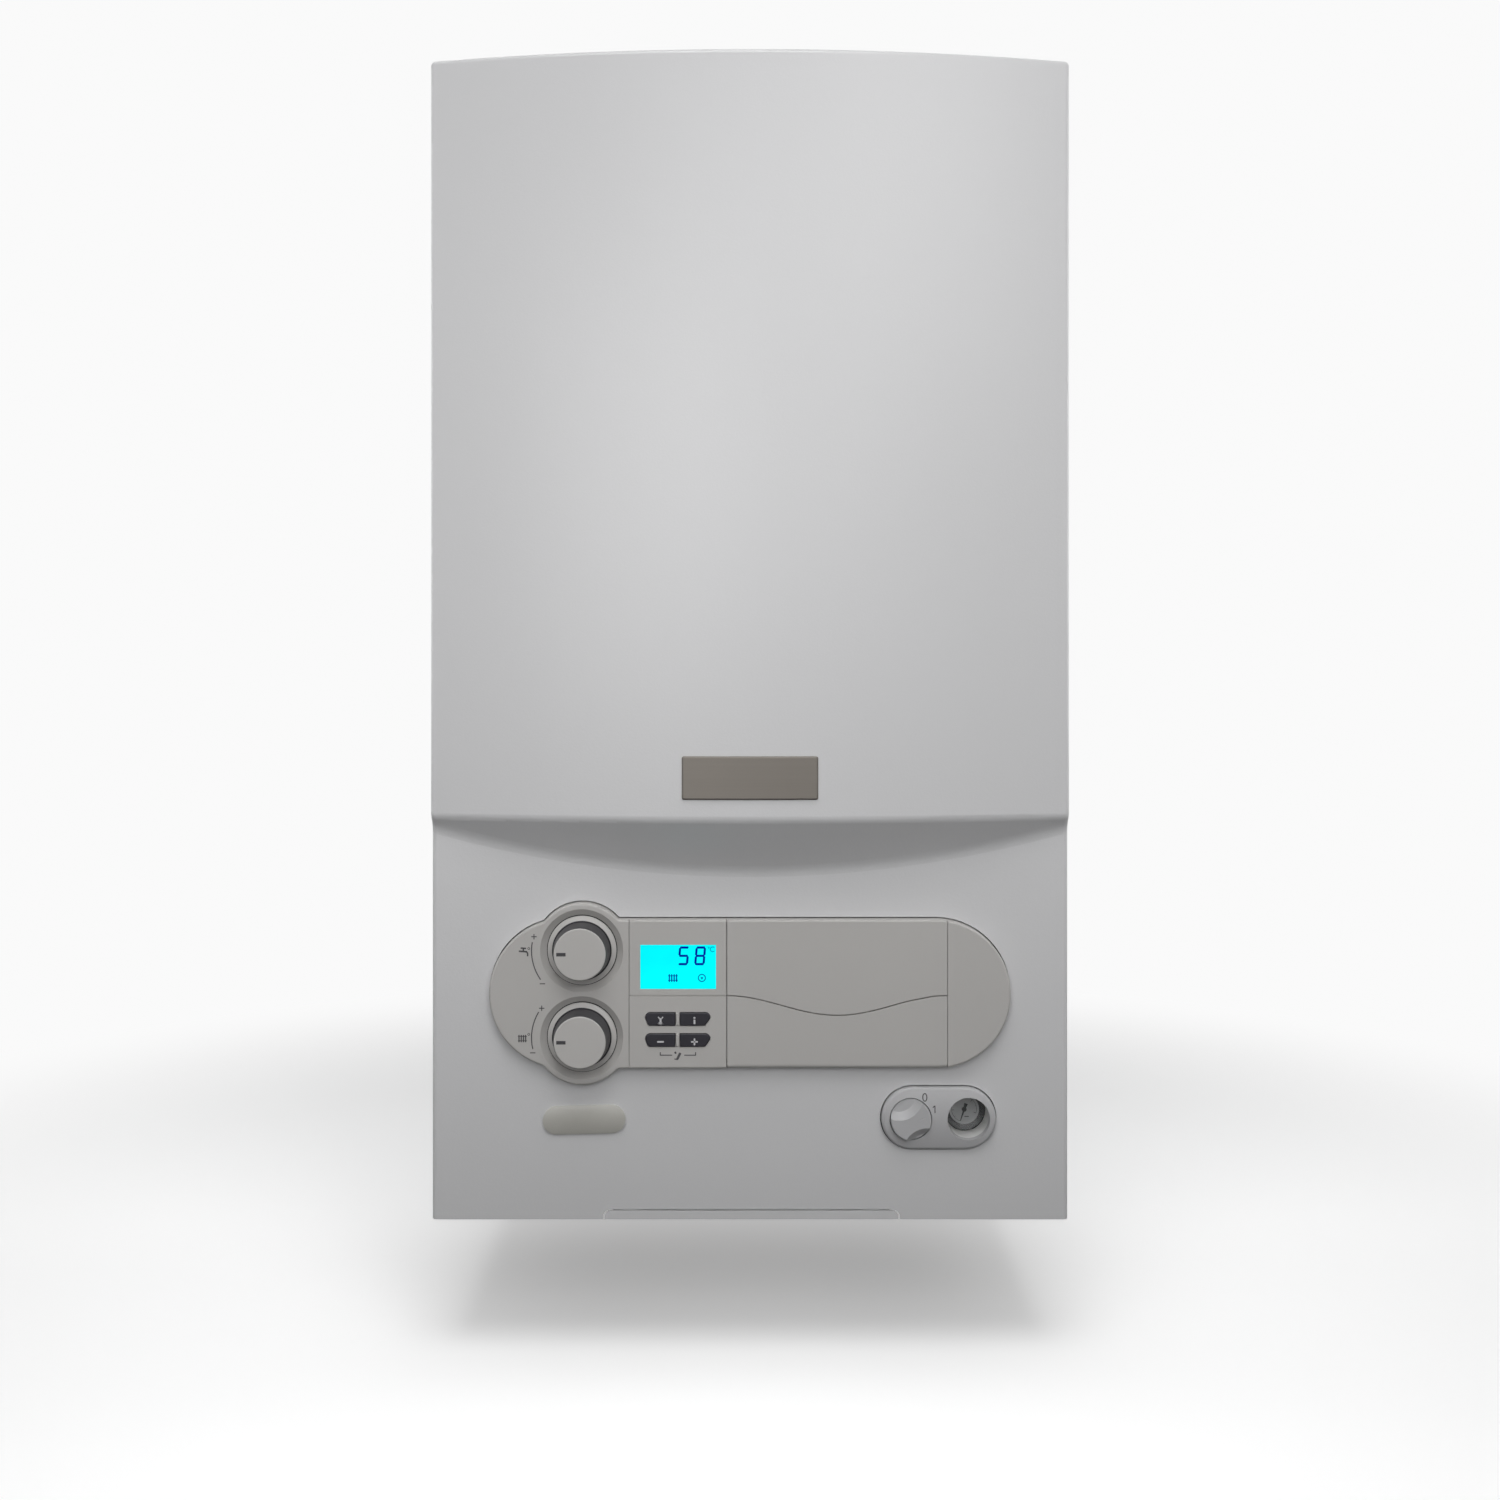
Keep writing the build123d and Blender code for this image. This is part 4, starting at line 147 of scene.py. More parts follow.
# the camera, gloss and glass see the backdrop, and everything else only the dim sky
sees_backdrop = rays.outputs["Is Camera Ray"]
for kind in ("Is Glossy Ray", "Is Transmission Ray"):
    either = sum_up(nodes, "MAXIMUM")
    link(sees_backdrop, either.inputs[0])
    link(rays.outputs[kind], either.inputs[1])
    sees_backdrop = either.outputs["Value"]
link(sees_backdrop, choose.inputs["Fac"])
link(sky.outputs["Background"], choose.inputs[1])
link(backdrop.outputs["Background"], choose.inputs[2])
link(choose.outputs["Shader"], nodes["World Output"].inputs["Surface"])

bpy.ops.mesh.primitive_circle_add(vertices=FLOOR_SIDES, radius=FLOOR_R, fill_type="NGON",
                                  location=(0, 0, FLOOR_Z))
floor = bpy.context.object
floor.name = "floor"
paving = bpy.data.materials.new("pale_floor")
paving.use_nodes = True
nodes = paving.node_tree.nodes
link = paving.node_tree.links.new
nodes.remove(nodes["Principled BSDF"])
near_skin = nodes.new("ShaderNodeBsdfDiffuse")
near_skin.inputs["Color"].default_value = (FLOOR_SEEN, FLOOR_SEEN, FLOOR_SEEN, 1)
far_skin = nodes.new("ShaderNodeEmission")
far_skin.inputs["Color"].default_value = (PALE, PALE, PALE, 1)
dim_skin = nodes.new("ShaderNodeBsdfDiffuse")
spot = nodes.new("ShaderNodeTexCoord")
reach = nodes.new("ShaderNodeVectorMath")
reach.operation = "LENGTH"
fade = map_range(nodes, FLOOR_FADE, (FLOOR_FAR_SHARE, 1), smooth=True)
bounce = map_range(nodes, FLOOR_BOUNCE_REACH, FLOOR_BOUNCE, smooth=True)
rays = nodes.new("ShaderNodeLightPath")
near_mix = nodes.new("ShaderNodeMixShader")
ray_mix = nodes.new("ShaderNodeMixShader")
link(spot.outputs["Object"], reach.inputs[0])
link(reach.outputs["Value"], fade.inputs["Value"])
link(reach.outputs["Value"], bounce.inputs["Value"])
link(bounce.outputs["Result"], dim_skin.inputs["Color"])
link(fade.outputs["Result"], near_mix.inputs["Fac"])
link(near_skin.outputs["BSDF"], near_mix.inputs[1])
link(far_skin.outputs["Emission"], near_mix.inputs[2])
link(rays.outputs["Is Camera Ray"], ray_mix.inputs["Fac"])
link(dim_skin.outputs["BSDF"], ray_mix.inputs[1])
link(near_mix.outputs["Shader"], ray_mix.inputs[2])
link(ray_mix.outputs["Shader"], nodes["Material Output"].inputs["Surface"])
floor.data.materials.append(paving)
floor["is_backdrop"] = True


# --- Chassis -------------------------------------------------------------------------------------
# Back frame, wall bracket, top plate and pipe plate, folded from hot-dip galvanised sheet and spot
# welded. The spangle of the zinc shows, with a little shop dust on what faces up.
def shader_group(name, inputs, outputs):
    """An empty node group with float inputs (name, value) and outputs (name, socket type)."""
    group = bpy.data.node_groups.new(name, "ShaderNodeTree")
    for title, value in inputs:
        socket = group.interface.new_socket(title, in_out="INPUT", socket_type="NodeSocketFloat")
        socket.default_value = value
    for title, kind in outputs:
        group.interface.new_socket(title, in_out="OUTPUT", socket_type=kind)
    return group, group.nodes.new("NodeGroupInput"), group.nodes.new("NodeGroupOutput")


def colour_mix(nodes, low=None, high=None, share=None):
    """A node that mixes two colours, with those of its three inputs that are fixed."""
    blend = nodes.new("ShaderNodeMix")
    blend.data_type = "RGBA"
    for number, value in ((0, share), (6, low), (7, high)):
        if value is not None:
            blend.inputs[number].default_value = value
    return blend


def zinc_spangle():
    """Flat crystals of hot-dip zinc: a tone for each crystal and a faint ridge between them."""
    group, given, made = shader_group("zinc_spangle", [("Scale", 90.0)],
                                      [("Mask", "NodeSocketFloat"), ("Height", "NodeSocketFloat")])
    spot = group.nodes.new("ShaderNodeTexCoord")
    bend = group.nodes.new("ShaderNodeTexNoise")
    bend.inputs["Scale"].default_value = 40
    shift = colour_mix(group.nodes, share=0.012)
    cells = group.nodes.new("ShaderNodeTexVoronoi")
    split = group.nodes.new("ShaderNodeSeparateColor")
    link = group.links.new
    link(spot.outputs["Object"], bend.inputs["Vector"])
    link(spot.outputs["Object"], shift.inputs[6])
    link(bend.outputs["Color"], shift.inputs[7])
    link(shift.outputs[2], cells.inputs["Vector"])
    link(given.outputs["Scale"], cells.inputs["Scale"])
    link(cells.outputs["Color"], split.inputs["Color"])
    link(split.outputs["Red"], made.inputs["Mask"])
    link(cells.outputs["Distance"], made.inputs["Height"])
    return group


def orange_peel():
    """Skin of sprayed paint, powder coat or moulded plastic: slow mottling and a fine pebble."""
    group, given, made = shader_group("orange_peel", [("Scale", 900.0), ("Cloud", 6.0)],
                                      [("Mask", "NodeSocketFloat"), ("Height", "NodeSocketFloat")])
    spot = group.nodes.new("ShaderNodeTexCoord")
    pebble = group.nodes.new("ShaderNodeTexNoise")
    cloud = group.nodes.new("ShaderNodeTexNoise")
    pebble.inputs["Detail"].default_value = 1.5
    cloud.inputs["Detail"].default_value = 4
    link = group.links.new
    link(spot.outputs["Object"], pebble.inputs["Vector"])
    link(spot.outputs["Object"], cloud.inputs["Vector"])
    link(given.outputs["Scale"], pebble.inputs["Scale"])
    link(given.outputs["Cloud"], cloud.inputs["Scale"])
    link(cloud.outputs["Fac"], made.inputs["Mask"])
    link(pebble.outputs["Fac"], made.inputs["Height"])
    return group


def mill_grain():
    """Drawn or brushed metal: long fine scratches along one axis, crossed by slow tarnish."""
    group, given, made = shader_group("mill_grain",
                                      [("Along X", 4.0), ("Along Y", 300.0), ("Along Z", 300.0)],
                                      [("Mask", "NodeSocketFloat"), ("Height", "NodeSocketFloat")])
    spot = group.nodes.new("ShaderNodeTexCoord")
    stretch = group.nodes.new("ShaderNodeCombineXYZ")
    drawn = group.nodes.new("ShaderNodeVectorMath")
    drawn.operation = "MULTIPLY"
    scratch = group.nodes.new("ShaderNodeTexNoise")
    scratch.inputs["Scale"].default_value = 1
    scratch.inputs["Detail"].default_value = 3
    tarnish = group.nodes.new("ShaderNodeTexNoise")
    tarnish.inputs["Scale"].default_value = 14
    tarnish.inputs["Detail"].default_value = 5
    blend = sum_up(group.nodes, "MULTIPLY_ADD", 0.45)
    half = sum_up(group.nodes, "MULTIPLY", 0.55)
    link = group.links.new
    for axis in "XYZ":
        link(given.outputs["Along " + axis], stretch.inputs[axis])
    link(spot.outputs["Object"], drawn.inputs[0])
    link(stretch.outputs["Vector"], drawn.inputs[1])
    link(drawn.outputs["Vector"], scratch.inputs["Vector"])
    link(spot.outputs["Object"], tarnish.inputs["Vector"])
    link(scratch.outputs["Fac"], blend.inputs[0])
    link(tarnish.outputs["Fac"], half.inputs[0])
    link(half.outputs["Value"], blend.inputs[2])
    link(blend.outputs["Value"], made.inputs["Mask"])
    link(scratch.outputs["Fac"], made.inputs["Height"])
    return group


def shop_dust():
    """Dust that settles on what faces up, in patches."""
    group, given, made = shader_group("shop_dust", [("Amount", 0.4)], [("Mask", "NodeSocketFloat")])
    faces = group.nodes.new("ShaderNodeNewGeometry")
    upward = group.nodes.new("ShaderNodeSeparateXYZ")
    slope = map_range(group.nodes, (0.6, 1), (0, 1), smooth=True)
    spot = group.nodes.new("ShaderNodeTexCoord")
    patch = group.nodes.new("ShaderNodeTexNoise")
    patch.inputs["Scale"].default_value = 35
    patch.inputs["Detail"].default_value = 6
    thin = sum_up(group.nodes, "MULTIPLY")
    amount = sum_up(group.nodes, "MULTIPLY")
    link = group.links.new
    link(faces.outputs["Normal"], upward.inputs["Vector"])
    link(upward.outputs["Z"], slope.inputs["Value"])
    link(spot.outputs["Object"], patch.inputs["Vector"])
    link(slope.outputs["Result"], thin.inputs[0])
    link(patch.outputs["Fac"], thin.inputs[1])
    link(thin.outputs["Value"], amount.inputs[0])
    link(given.outputs["Amount"], amount.inputs[1])
    link(amount.outputs["Value"], made.inputs["Mask"])
    return group


PEEL = orange_peel()
GRAIN = mill_grain()
SPANGLE = zinc_spangle()
DUST = shop_dust()
DUST_TONE = (0.42, 0.40, 0.37, 1)


def finish(name, skin, settings, low, high, rough, relief, dust=0.0, **shader):
    """A finish whose tone and roughness run between two values by a skin's mask, with its relief."""
    made = bpy.data.materials.new(name)
    made.use_nodes = True
    nodes = made.node_tree.nodes
    link = made.node_tree.links.new
    surface = nodes["Principled BSDF"]
    cover = nodes.new("ShaderNodeGroup")
    cover.node_tree = skin
    for title, value in settings.items():
        cover.inputs[title].default_value = value
    tone = colour_mix(nodes, (*low, 1), (*high, 1))
    link(cover.outputs["Mask"], tone.inputs[0])
    colour = tone.outputs[2]
    if dust:
        settled = nodes.new("ShaderNodeGroup")
        settled.node_tree = DUST
        settled.inputs["Amount"].default_value = dust
        dusty = colour_mix(nodes, high=DUST_TONE)
        link(settled.outputs["Mask"], dusty.inputs[0])
        link(colour, dusty.inputs[6])
        colour = dusty.outputs[2]
    link(colour, surface.inputs["Base Color"])
    gloss = map_range(nodes, (0, 1), rough)
    link(cover.outputs["Mask"], gloss.inputs["Value"])
    link(gloss.outputs["Result"], surface.inputs["Roughness"])
    bump = nodes.new("ShaderNodeBump")
    bump.inputs["Strength"].default_value = 1
    bump.inputs["Distance"].default_value = relief
    link(cover.outputs["Height"], bump.inputs["Height"])
    link(bump.outputs["Normal"], surface.inputs["Normal"])
    for title, value in shader.items():
        surface.inputs[title.replace("_", " ")].default_value = value
    return made


def dress(material, *nodes):
    """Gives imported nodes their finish."""
    for node in nodes:
        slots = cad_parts[node].data.materials
        slots.clear()
        slots.append(material)


galvanised = finish("hot_dip_zinc", SPANGLE, {"Scale": 110}, (0.40, 0.42, 0.44), (0.60, 0.62, 0.64),
                    (0.34, 0.52), 0.00008, dust=0.5, Metallic=0.85)
dress(galvanised, "back_frame", "top_plate", "pipe_plate")
bracket_zinc = finish("bracket_zinc", SPANGLE, {"Scale": 160}, (0.46, 0.47, 0.48), (0.58, 0.59, 0.60),
                      (0.36, 0.48), 0.00006, Metallic=0.85)
dress(bracket_zinc, "wall_bracket")


# --- Chassis screws ------------------------------------------------------------------------------
# Zinc-plated pan-head screws with a cross recess, driven through the side panels into the back
# frame's flanges and through the flue adapter's base into the top plate.
SCREW_HEAD_R = 0.0042
SCREW_HEAD_T = 0.0022
SCREW_HEAD_DOME = 0.6       # share of the head's thickness that is rounded
SCREW_SIDES = 24
RECESS_W = 0.0011
RECESS_L = 0.0046
RECESS_SINK = 0.0012
SMOOTH_UNDER = math.radians(40)
PANEL_SCREWS = 4
PANEL_SCREW_IN = 0.010      # from the panel's rear edge
PANEL_SCREW_END = 0.04      # from its upper and lower edges
ADAPTER_SCREW_IN = 0.010
ADAPTER_BASE_T = 0.0015


def clear_hands():
    """Object mode with nothing selected, so that the next operator acts on the new piece alone."""
    if bpy.context.object and bpy.context.object.mode != "OBJECT":
        bpy.ops.object.mode_set(mode="OBJECT")
    bpy.ops.object.select_all(action="DESELECT")


def take(piece):
    """One piece selected and active."""
    clear_hands()
    piece.select_set(True)
    bpy.context.view_layer.objects.active = piece


def pick(piece, kind, wanted):
    """Edit mode on a piece with only the faces or edges selected that a test accepts."""
    take(piece)
    bpy.ops.object.mode_set(mode="EDIT")
    bpy.ops.mesh.select_mode(type=kind)
    bpy.ops.mesh.select_all(action="DESELECT")
    bpy.ops.object.mode_set(mode="OBJECT")
    mesh = piece.data
    if kind == "FACE":
        for face in mesh.polygons:
            face.select = wanted(face)
    else:
        for edge in mesh.edges:
            edge.select = wanted(mesh.vertices[edge.vertices[0]].co, mesh.vertices[edge.vertices[1]].co)
    bpy.ops.object.mode_set(mode="EDIT")


def bake_place():
    """The active object's place, turn and size go into its mesh."""
    if bpy.context.object.mode != "OBJECT":
        bpy.ops.object.mode_set(mode="OBJECT")
    bpy.ops.object.transform_apply(location=True, rotation=True, scale=True)
    return bpy.context.object


def join(pieces):
    """Several meshes as one."""
    clear_hands()
    for piece in pieces:
        piece.select_set(True)
    bpy.context.view_layer.objects.active = pieces[0]
    bpy.ops.object.join()
    return bpy.context.object


def cut(piece, tool):
    """Cuts a tool's shape out of a piece and throws the tool away."""
    take(piece)
    boolean = piece.modifiers.new("cut", "BOOLEAN")
    boolean.operation = "DIFFERENCE"
    boolean.solver = "EXACT"
    boolean.object = tool
    bpy.ops.object.modifier_apply(modifier=boolean.name)
    bpy.data.objects.remove(tool, do_unlink=True)


def settle(piece, name, body, material):
    """Names a finished piece, bakes its place into its mesh and lets it ride on a body."""
    take(piece)
    bake_place()
    bpy.ops.object.mode_set(mode="EDIT")
    bpy.ops.mesh.select_all(action="SELECT")
    bpy.ops.mesh.normals_make_consistent(inside=False)
    bpy.ops.object.mode_set(mode="OBJECT")
    bpy.ops.object.shade_smooth_by_angle(angle=SMOOTH_UNDER)
    piece.name = name
    piece.data.name = name
    piece.data.materials.clear()
    piece.data.materials.append(material)
    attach(piece, body)


def pan_head():
    """A pan-head screw's head, standing on the ground plane at the origin."""
    clear_hands()
    bpy.ops.mesh.primitive_cylinder_add(vertices=SCREW_SIDES, radius=SCREW_HEAD_R, depth=SCREW_HEAD_T,
                                        location=(0, 0, SCREW_HEAD_T / 2))
    head = bake_place()
    pick(head, "EDGE", lambda a, b: a.z > SCREW_HEAD_T - 1e-6 and b.z > SCREW_HEAD_T - 1e-6)
    bpy.ops.mesh.bevel(offset=SCREW_HEAD_T * SCREW_HEAD_DOME, segments=3)
    bpy.ops.object.mode_set(mode="OBJECT")
    for turn in (0, 90):
        bpy.ops.mesh.primitive_cube_add(size=1, location=(0, 0, SCREW_HEAD_T),
                                        rotation=(0, 0, math.radians(turn)),
                                        scale=(RECESS_L, RECESS_W, 2 * RECESS_SINK))
        cut(head, bpy.context.object)
    return head


def screw_row(name, places, turn):
    """Copies of the pan head at several places on the chassis, all turned alike."""
    model = pan_head()
    row = []
    for place in places:
        copy = bpy.data.objects.new(name, model.data.copy())
        copy.location = place
        copy.rotation_euler = turn
        bpy.context.scene.collection.objects.link(copy)
        take(copy)
        bake_place()
        row.append(copy)
    bpy.data.objects.remove(model, do_unlink=True)
    settle(join(row), name, "chassis", zinc_screw)


zinc_screw = finish("bright_zinc", GRAIN, {"Along X": 200, "Along Y": 200, "Along Z": 200},
                    (0.52, 0.53, 0.55), (0.68, 0.68, 0.69), (0.25, 0.42), 0.00002, Metallic=1.0)
for side, node in ((-1, "left_side_panel"), (1, "right_side_panel")):
    panel_low, panel_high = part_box(node)
    face_x = panel_low[0] if side < 0 else panel_high[0]
    step = (panel_high[2] - panel_low[2] - 2 * PANEL_SCREW_END) / (PANEL_SCREWS - 1)
    places = [(face_x, panel_high[1] - PANEL_SCREW_IN, panel_low[2] + PANEL_SCREW_END + step * number)
              for number in range(PANEL_SCREWS)]
    screw_row(node.replace("panel", "screws"), places, (0, math.radians(90 * side), 0))
adapter_low, adapter_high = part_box("flue_adapter")
plate_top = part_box("top_plate")[1][2]
corners = [(x, y, plate_top + ADAPTER_BASE_T)
           for x in (adapter_low[0] + ADAPTER_SCREW_IN, adapter_high[0] - ADAPTER_SCREW_IN)
           for y in (adapter_low[1] + ADAPTER_SCREW_IN, adapter_high[1] - ADAPTER_SCREW_IN)]
screw_row("flue_adapter_screws", corners, (0, 0, 0))


# --- Sealed air chamber --------------------------------------------------------------------------
# Box of galvanised sheet with a pressed cover on a fibre seal. A mica-clear sight glass in the
# cover shows the flame.
chamber_zinc = finish("chamber_zinc", SPANGLE, {"Scale": 95}, (0.44, 0.46, 0.48), (0.60, 0.61, 0.63),
                      (0.36, 0.5), 0.00008, dust=0.35, Metallic=0.85)
dress(chamber_zinc, "air_chamber", "chamber_cover")
seal_fibre = finish("seal_fibre", PEEL, {"Scale": 700, "Cloud": 60}, (0.60, 0.58, 0.53),
                    (0.80, 0.78, 0.73), (0.8, 0.95), 0.0002)
dress(seal_fibre, "chamber_seal")


def clear_pane(name, tint, roughness):
    """Clear pane: full transmission, a faint tint, and finger haze in its gloss."""
    made = bpy.data.materials.new(name)
    made.use_nodes = True
    nodes = made.node_tree.nodes
    link = made.node_tree.links.new
    surface = nodes["Principled BSDF"]
    surface.inputs["Base Color"].default_value = (*tint, 1)
    surface.inputs["Transmission Weight"].default_value = 1
    surface.inputs["IOR"].default_value = 1.47
    haze = nodes.new("ShaderNodeGroup")
    haze.node_tree = PEEL
    haze.inputs["Cloud"].default_value = 70
    gloss = map_range(nodes, (0, 1), roughness)
    link(haze.outputs["Mask"], gloss.inputs["Value"])
    link(gloss.outputs["Result"], surface.inputs["Roughness"])
    return made


dress(clear_pane("sight_pane", (0.93, 0.95, 0.94), (0.02, 0.07)), "sight_glass")


# --- Combustion chamber and burner ---------------------------------------------------------------
# Insulating fibre boards in a pan, over a row of slotted stainless blades. An aluminium manifold
# carries the jets, and two ceramic-clad electrodes reach over the blades.
fibre_board = finish("fibre_board", PEEL, {"Scale": 420, "Cloud": 22}, (0.62, 0.60, 0.54),
                     (0.86, 0.84, 0.78), (0.85, 0.98), 0.0003)
dress(fibre_board, "combustion_box")
blade_steel = finish("blade_steel", GRAIN, {"Along X": 260, "Along Y": 6, "Along Z": 260},
                     (0.50, 0.50, 0.50), (0.72, 0.71, 0.69), (0.25, 0.45), 0.00003, Metallic=1.0)
dress(blade_steel, "burner", "fan_impeller", "pump_rotor")
cast_aluminium = finish("cast_aluminium", PEEL, {"Scale": 500, "Cloud": 30}, (0.50, 0.51, 0.53),
                        (0.66, 0.67, 0.69), (0.4, 0.6), 0.00015, dust=0.3, Metallic=0.9)
dress(cast_aluminium, "gas_manifold", "flue_hood", "fan_housing", "gas_valve")
glazed_ceramic = finish("glazed_ceramic", PEEL, {"Scale": 300, "Cloud": 40}, (0.80, 0.78, 0.73),
                        (0.90, 0.88, 0.84), (0.2, 0.4), 0.00004, Coat_Weight=0.4)
dress(glazed_ceramic, "electrodes")


# --- Heat exchanger, pipes and fan ---------------------------------------------------------------
# Copper fin block and soft copper pipes, a fan with an aluminium scroll and a plated motor, and a
# spigot adapter of cast aluminium on top.
drawn_copper = finish("drawn_copper", GRAIN, {"Along X": 90, "Along Y": 90, "Along Z": 8},
                      (0.52, 0.27, 0.17), (0.80, 0.46, 0.31), (0.22, 0.48), 0.00003, Metallic=1.0)
dress(drawn_copper, "heat_exchanger", "water_pipes", "gas_pipe")
motor_plate = finish("motor_plate", GRAIN, {"Along X": 160, "Along Y": 10, "Along Z": 160},
                     (0.42, 0.43, 0.45), (0.62, 0.62, 0.63), (0.3, 0.45), 0.00003, Metallic=0.95)
dress(motor_plate, "fan_motor")
adapter_metal = finish("adapter_metal", PEEL, {"Scale": 600, "Cloud": 18}, (0.56, 0.57, 0.59),
                       (0.70, 0.71, 0.72), (0.38, 0.55), 0.00012, dust=0.6, Metallic=0.9)
dress(adapter_metal, "flue_adapter")
dark_moulding = finish("dark_moulding", PEEL, {"Scale": 1100, "Cloud": 16}, (0.035, 0.035, 0.038),
                       (0.065, 0.065, 0.07), (0.42, 0.58), 0.00008, dust=0.12)
dress(dark_moulding, "air_pressure_switch", "diverter_motor", "rotary_controls")


# --- Water side ----------------------------------------------------------------------------------
# Red lacquered expansion vessel, cast-iron pump, brazed stainless plate exchanger, and hot-pressed
# brass valves and union nuts.
vessel_lacquer = finish("vessel_lacquer", PEEL, {"Scale": 420, "Cloud": 9}, (0.46, 0.04, 0.035),
                        (0.58, 0.07, 0.055), (0.3, 0.45), 0.00015, dust=0.35, Coat_Weight=0.3)
dress(vessel_lacquer, "expansion_vessel")
cast_iron = finish("cast_iron_paint", PEEL, {"Scale": 260, "Cloud": 25}, (0.16, 0.18, 0.20),
                   (0.27, 0.29, 0.31), (0.5, 0.7), 0.00035, dust=0.3, Metallic=0.3)
dress(cast_iron, "pump_housing", "pump_motor")
pressed_steel = finish("pressed_steel", GRAIN, {"Along X": 8, "Along Y": 220, "Along Z": 220},
                       (0.52, 0.51, 0.49), (0.72, 0.71, 0.69), (0.25, 0.42), 0.00003, Metallic=1.0)
dress(pressed_steel, "plate_heat_exchanger")
hot_brass = finish("hot_pressed_brass", PEEL, {"Scale": 380, "Cloud": 35}, (0.58, 0.43, 0.20),
                   (0.76, 0.60, 0.32), (0.3, 0.52), 0.0001, dust=0.15, Metallic=1.0)
dress(hot_brass, "air_vent", "diverter_valve", "safety_valve", "union_nuts")
cap_red = finish("valve_cap_red", PEEL, {"Scale": 900, "Cloud": 20}, (0.50, 0.035, 0.03),
                 (0.62, 0.06, 0.05), (0.35, 0.5), 0.0001)
dress(cap_red, "safety_valve_knob")


# --- Control box ---------------------------------------------------------------------------------
# Black moulded housing behind the control face, with a green circuit board and the mains cable's
# gland in its underside.
box_black = finish("box_black", PEEL, {"Scale": 800, "Cloud": 10}, (0.045, 0.045, 0.05),
                   (0.075, 0.075, 0.08), (0.45, 0.62), 0.00015, dust=0.2)
dress(box_black, "control_box", "cable_gland")
solder_mask = finish("solder_mask", PEEL, {"Scale": 1500, "Cloud": 45}, (0.03, 0.17, 0.08),
                     (0.09, 0.30, 0.15), (0.25, 0.4), 0.00005, Coat_Weight=0.5)
dress(solder_mask, "main_board")


# --- Control fascia ------------------------------------------------------------------------------
# Warm grey moulded panel with a fine spark-eroded grain, and the covers let into it. The marks
# beside the knobs are pad printed in dark grey.
PANEL_LOW = (0.532, 0.519, 0.503)
PANEL_HIGH = (0.572, 0.559, 0.542)
panel_grey = finish("panel_grey", PEEL, {"Scale": 1600, "Cloud": 9}, PANEL_LOW, PANEL_HIGH,
                    (0.40, 0.50), 0.00005)
dress(panel_grey, "control_fascia", "display_bezel", "blank_cover", "controller_flap")
ink_grey = finish("pad_print_ink", PEEL, {"Scale": 2500, "Cloud": 300}, (0.075, 0.07, 0.075),
                  (0.115, 0.11, 0.115), (0.5, 0.6), 0.00001)

INK = 0.00006               # thickness of a printed mark
INK_GAP = 0.00001           # air under it, so that the two faces don't lie in one plane
ROUND = 0.35                # corner of a printed bar, as a share of its narrow side
SHARP = 0.1
fascia_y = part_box("control_fascia")[0][1]


def stroke(x, z, wide, high, face, lean=0.0, ink=INK, corner=ROUND):
    """A printed bar with rounded corners on an upright face at y = face, leaned anticlockwise."""
    clear_hands()
    bpy.ops.mesh.primitive_cube_add(size=1, location=(0, 0, 0), scale=(wide, ink, high))
    bar = bake_place()
    pick(bar, "EDGE", lambda a, b: abs(a.y - b.y) > ink / 2)
    bpy.ops.mesh.bevel(offset=corner * min(wide, high), segments=3)
    bpy.ops.object.mode_set(mode="OBJECT")
    bar.rotation_euler = (0, -math.radians(lean), 0)
    bar.location = (x, face - INK_GAP - ink / 2, z)
    return bake_place()


def arc(x, z, radius, wide, start, sweep, face, ink=INK):
    """A printed arc about (x, z): degrees anticlockwise from three o'clock, seen from the front."""
    clear_hands()
    bpy.ops.mesh.primitive_plane_add(size=1, location=(radius, 0, 0))
    band = bpy.context.object
    band.scale = (wide, ink, 1)
    bake_place()
    bpy.ops.object.mode_set(mode="EDIT")
    bpy.ops.mesh.select_all(action="SELECT")
    bpy.ops.mesh.spin(steps=max(6, int(abs(sweep) / 5)), angle=math.radians(sweep),
                      center=(0, 0, 0), axis=(0, 1, 0))
    bpy.ops.mesh.select_all(action="SELECT")
    bpy.ops.mesh.remove_doubles(threshold=1e-7)
    bpy.ops.mesh.fill_holes(sides=4)
    bpy.ops.object.mode_set(mode="OBJECT")
    band.rotation_euler = (0, -math.radians(start), 0)
    band.location = (x, face - INK_GAP - ink / 2, z)
    return bake_place()


def ring(x, z, radius, wide, face, ink=INK, sides=40):
    """A printed ring: a disc with both faces inset and bridged."""
    clear_hands()
    bpy.ops.mesh.primitive_cylinder_add(vertices=sides, radius=radius, depth=ink,
                                        location=(x, face - INK_GAP - ink / 2, z),
                                        rotation=(math.radians(90), 0, 0))
    disc = bake_place()
    pick(disc, "FACE", lambda f: abs(f.normal.y) > 0.9)
    bpy.ops.mesh.inset(thickness=wide, use_individual=True)
    bpy.ops.mesh.bridge_edge_loops()
    bpy.ops.object.mode_set(mode="OBJECT")
    return disc


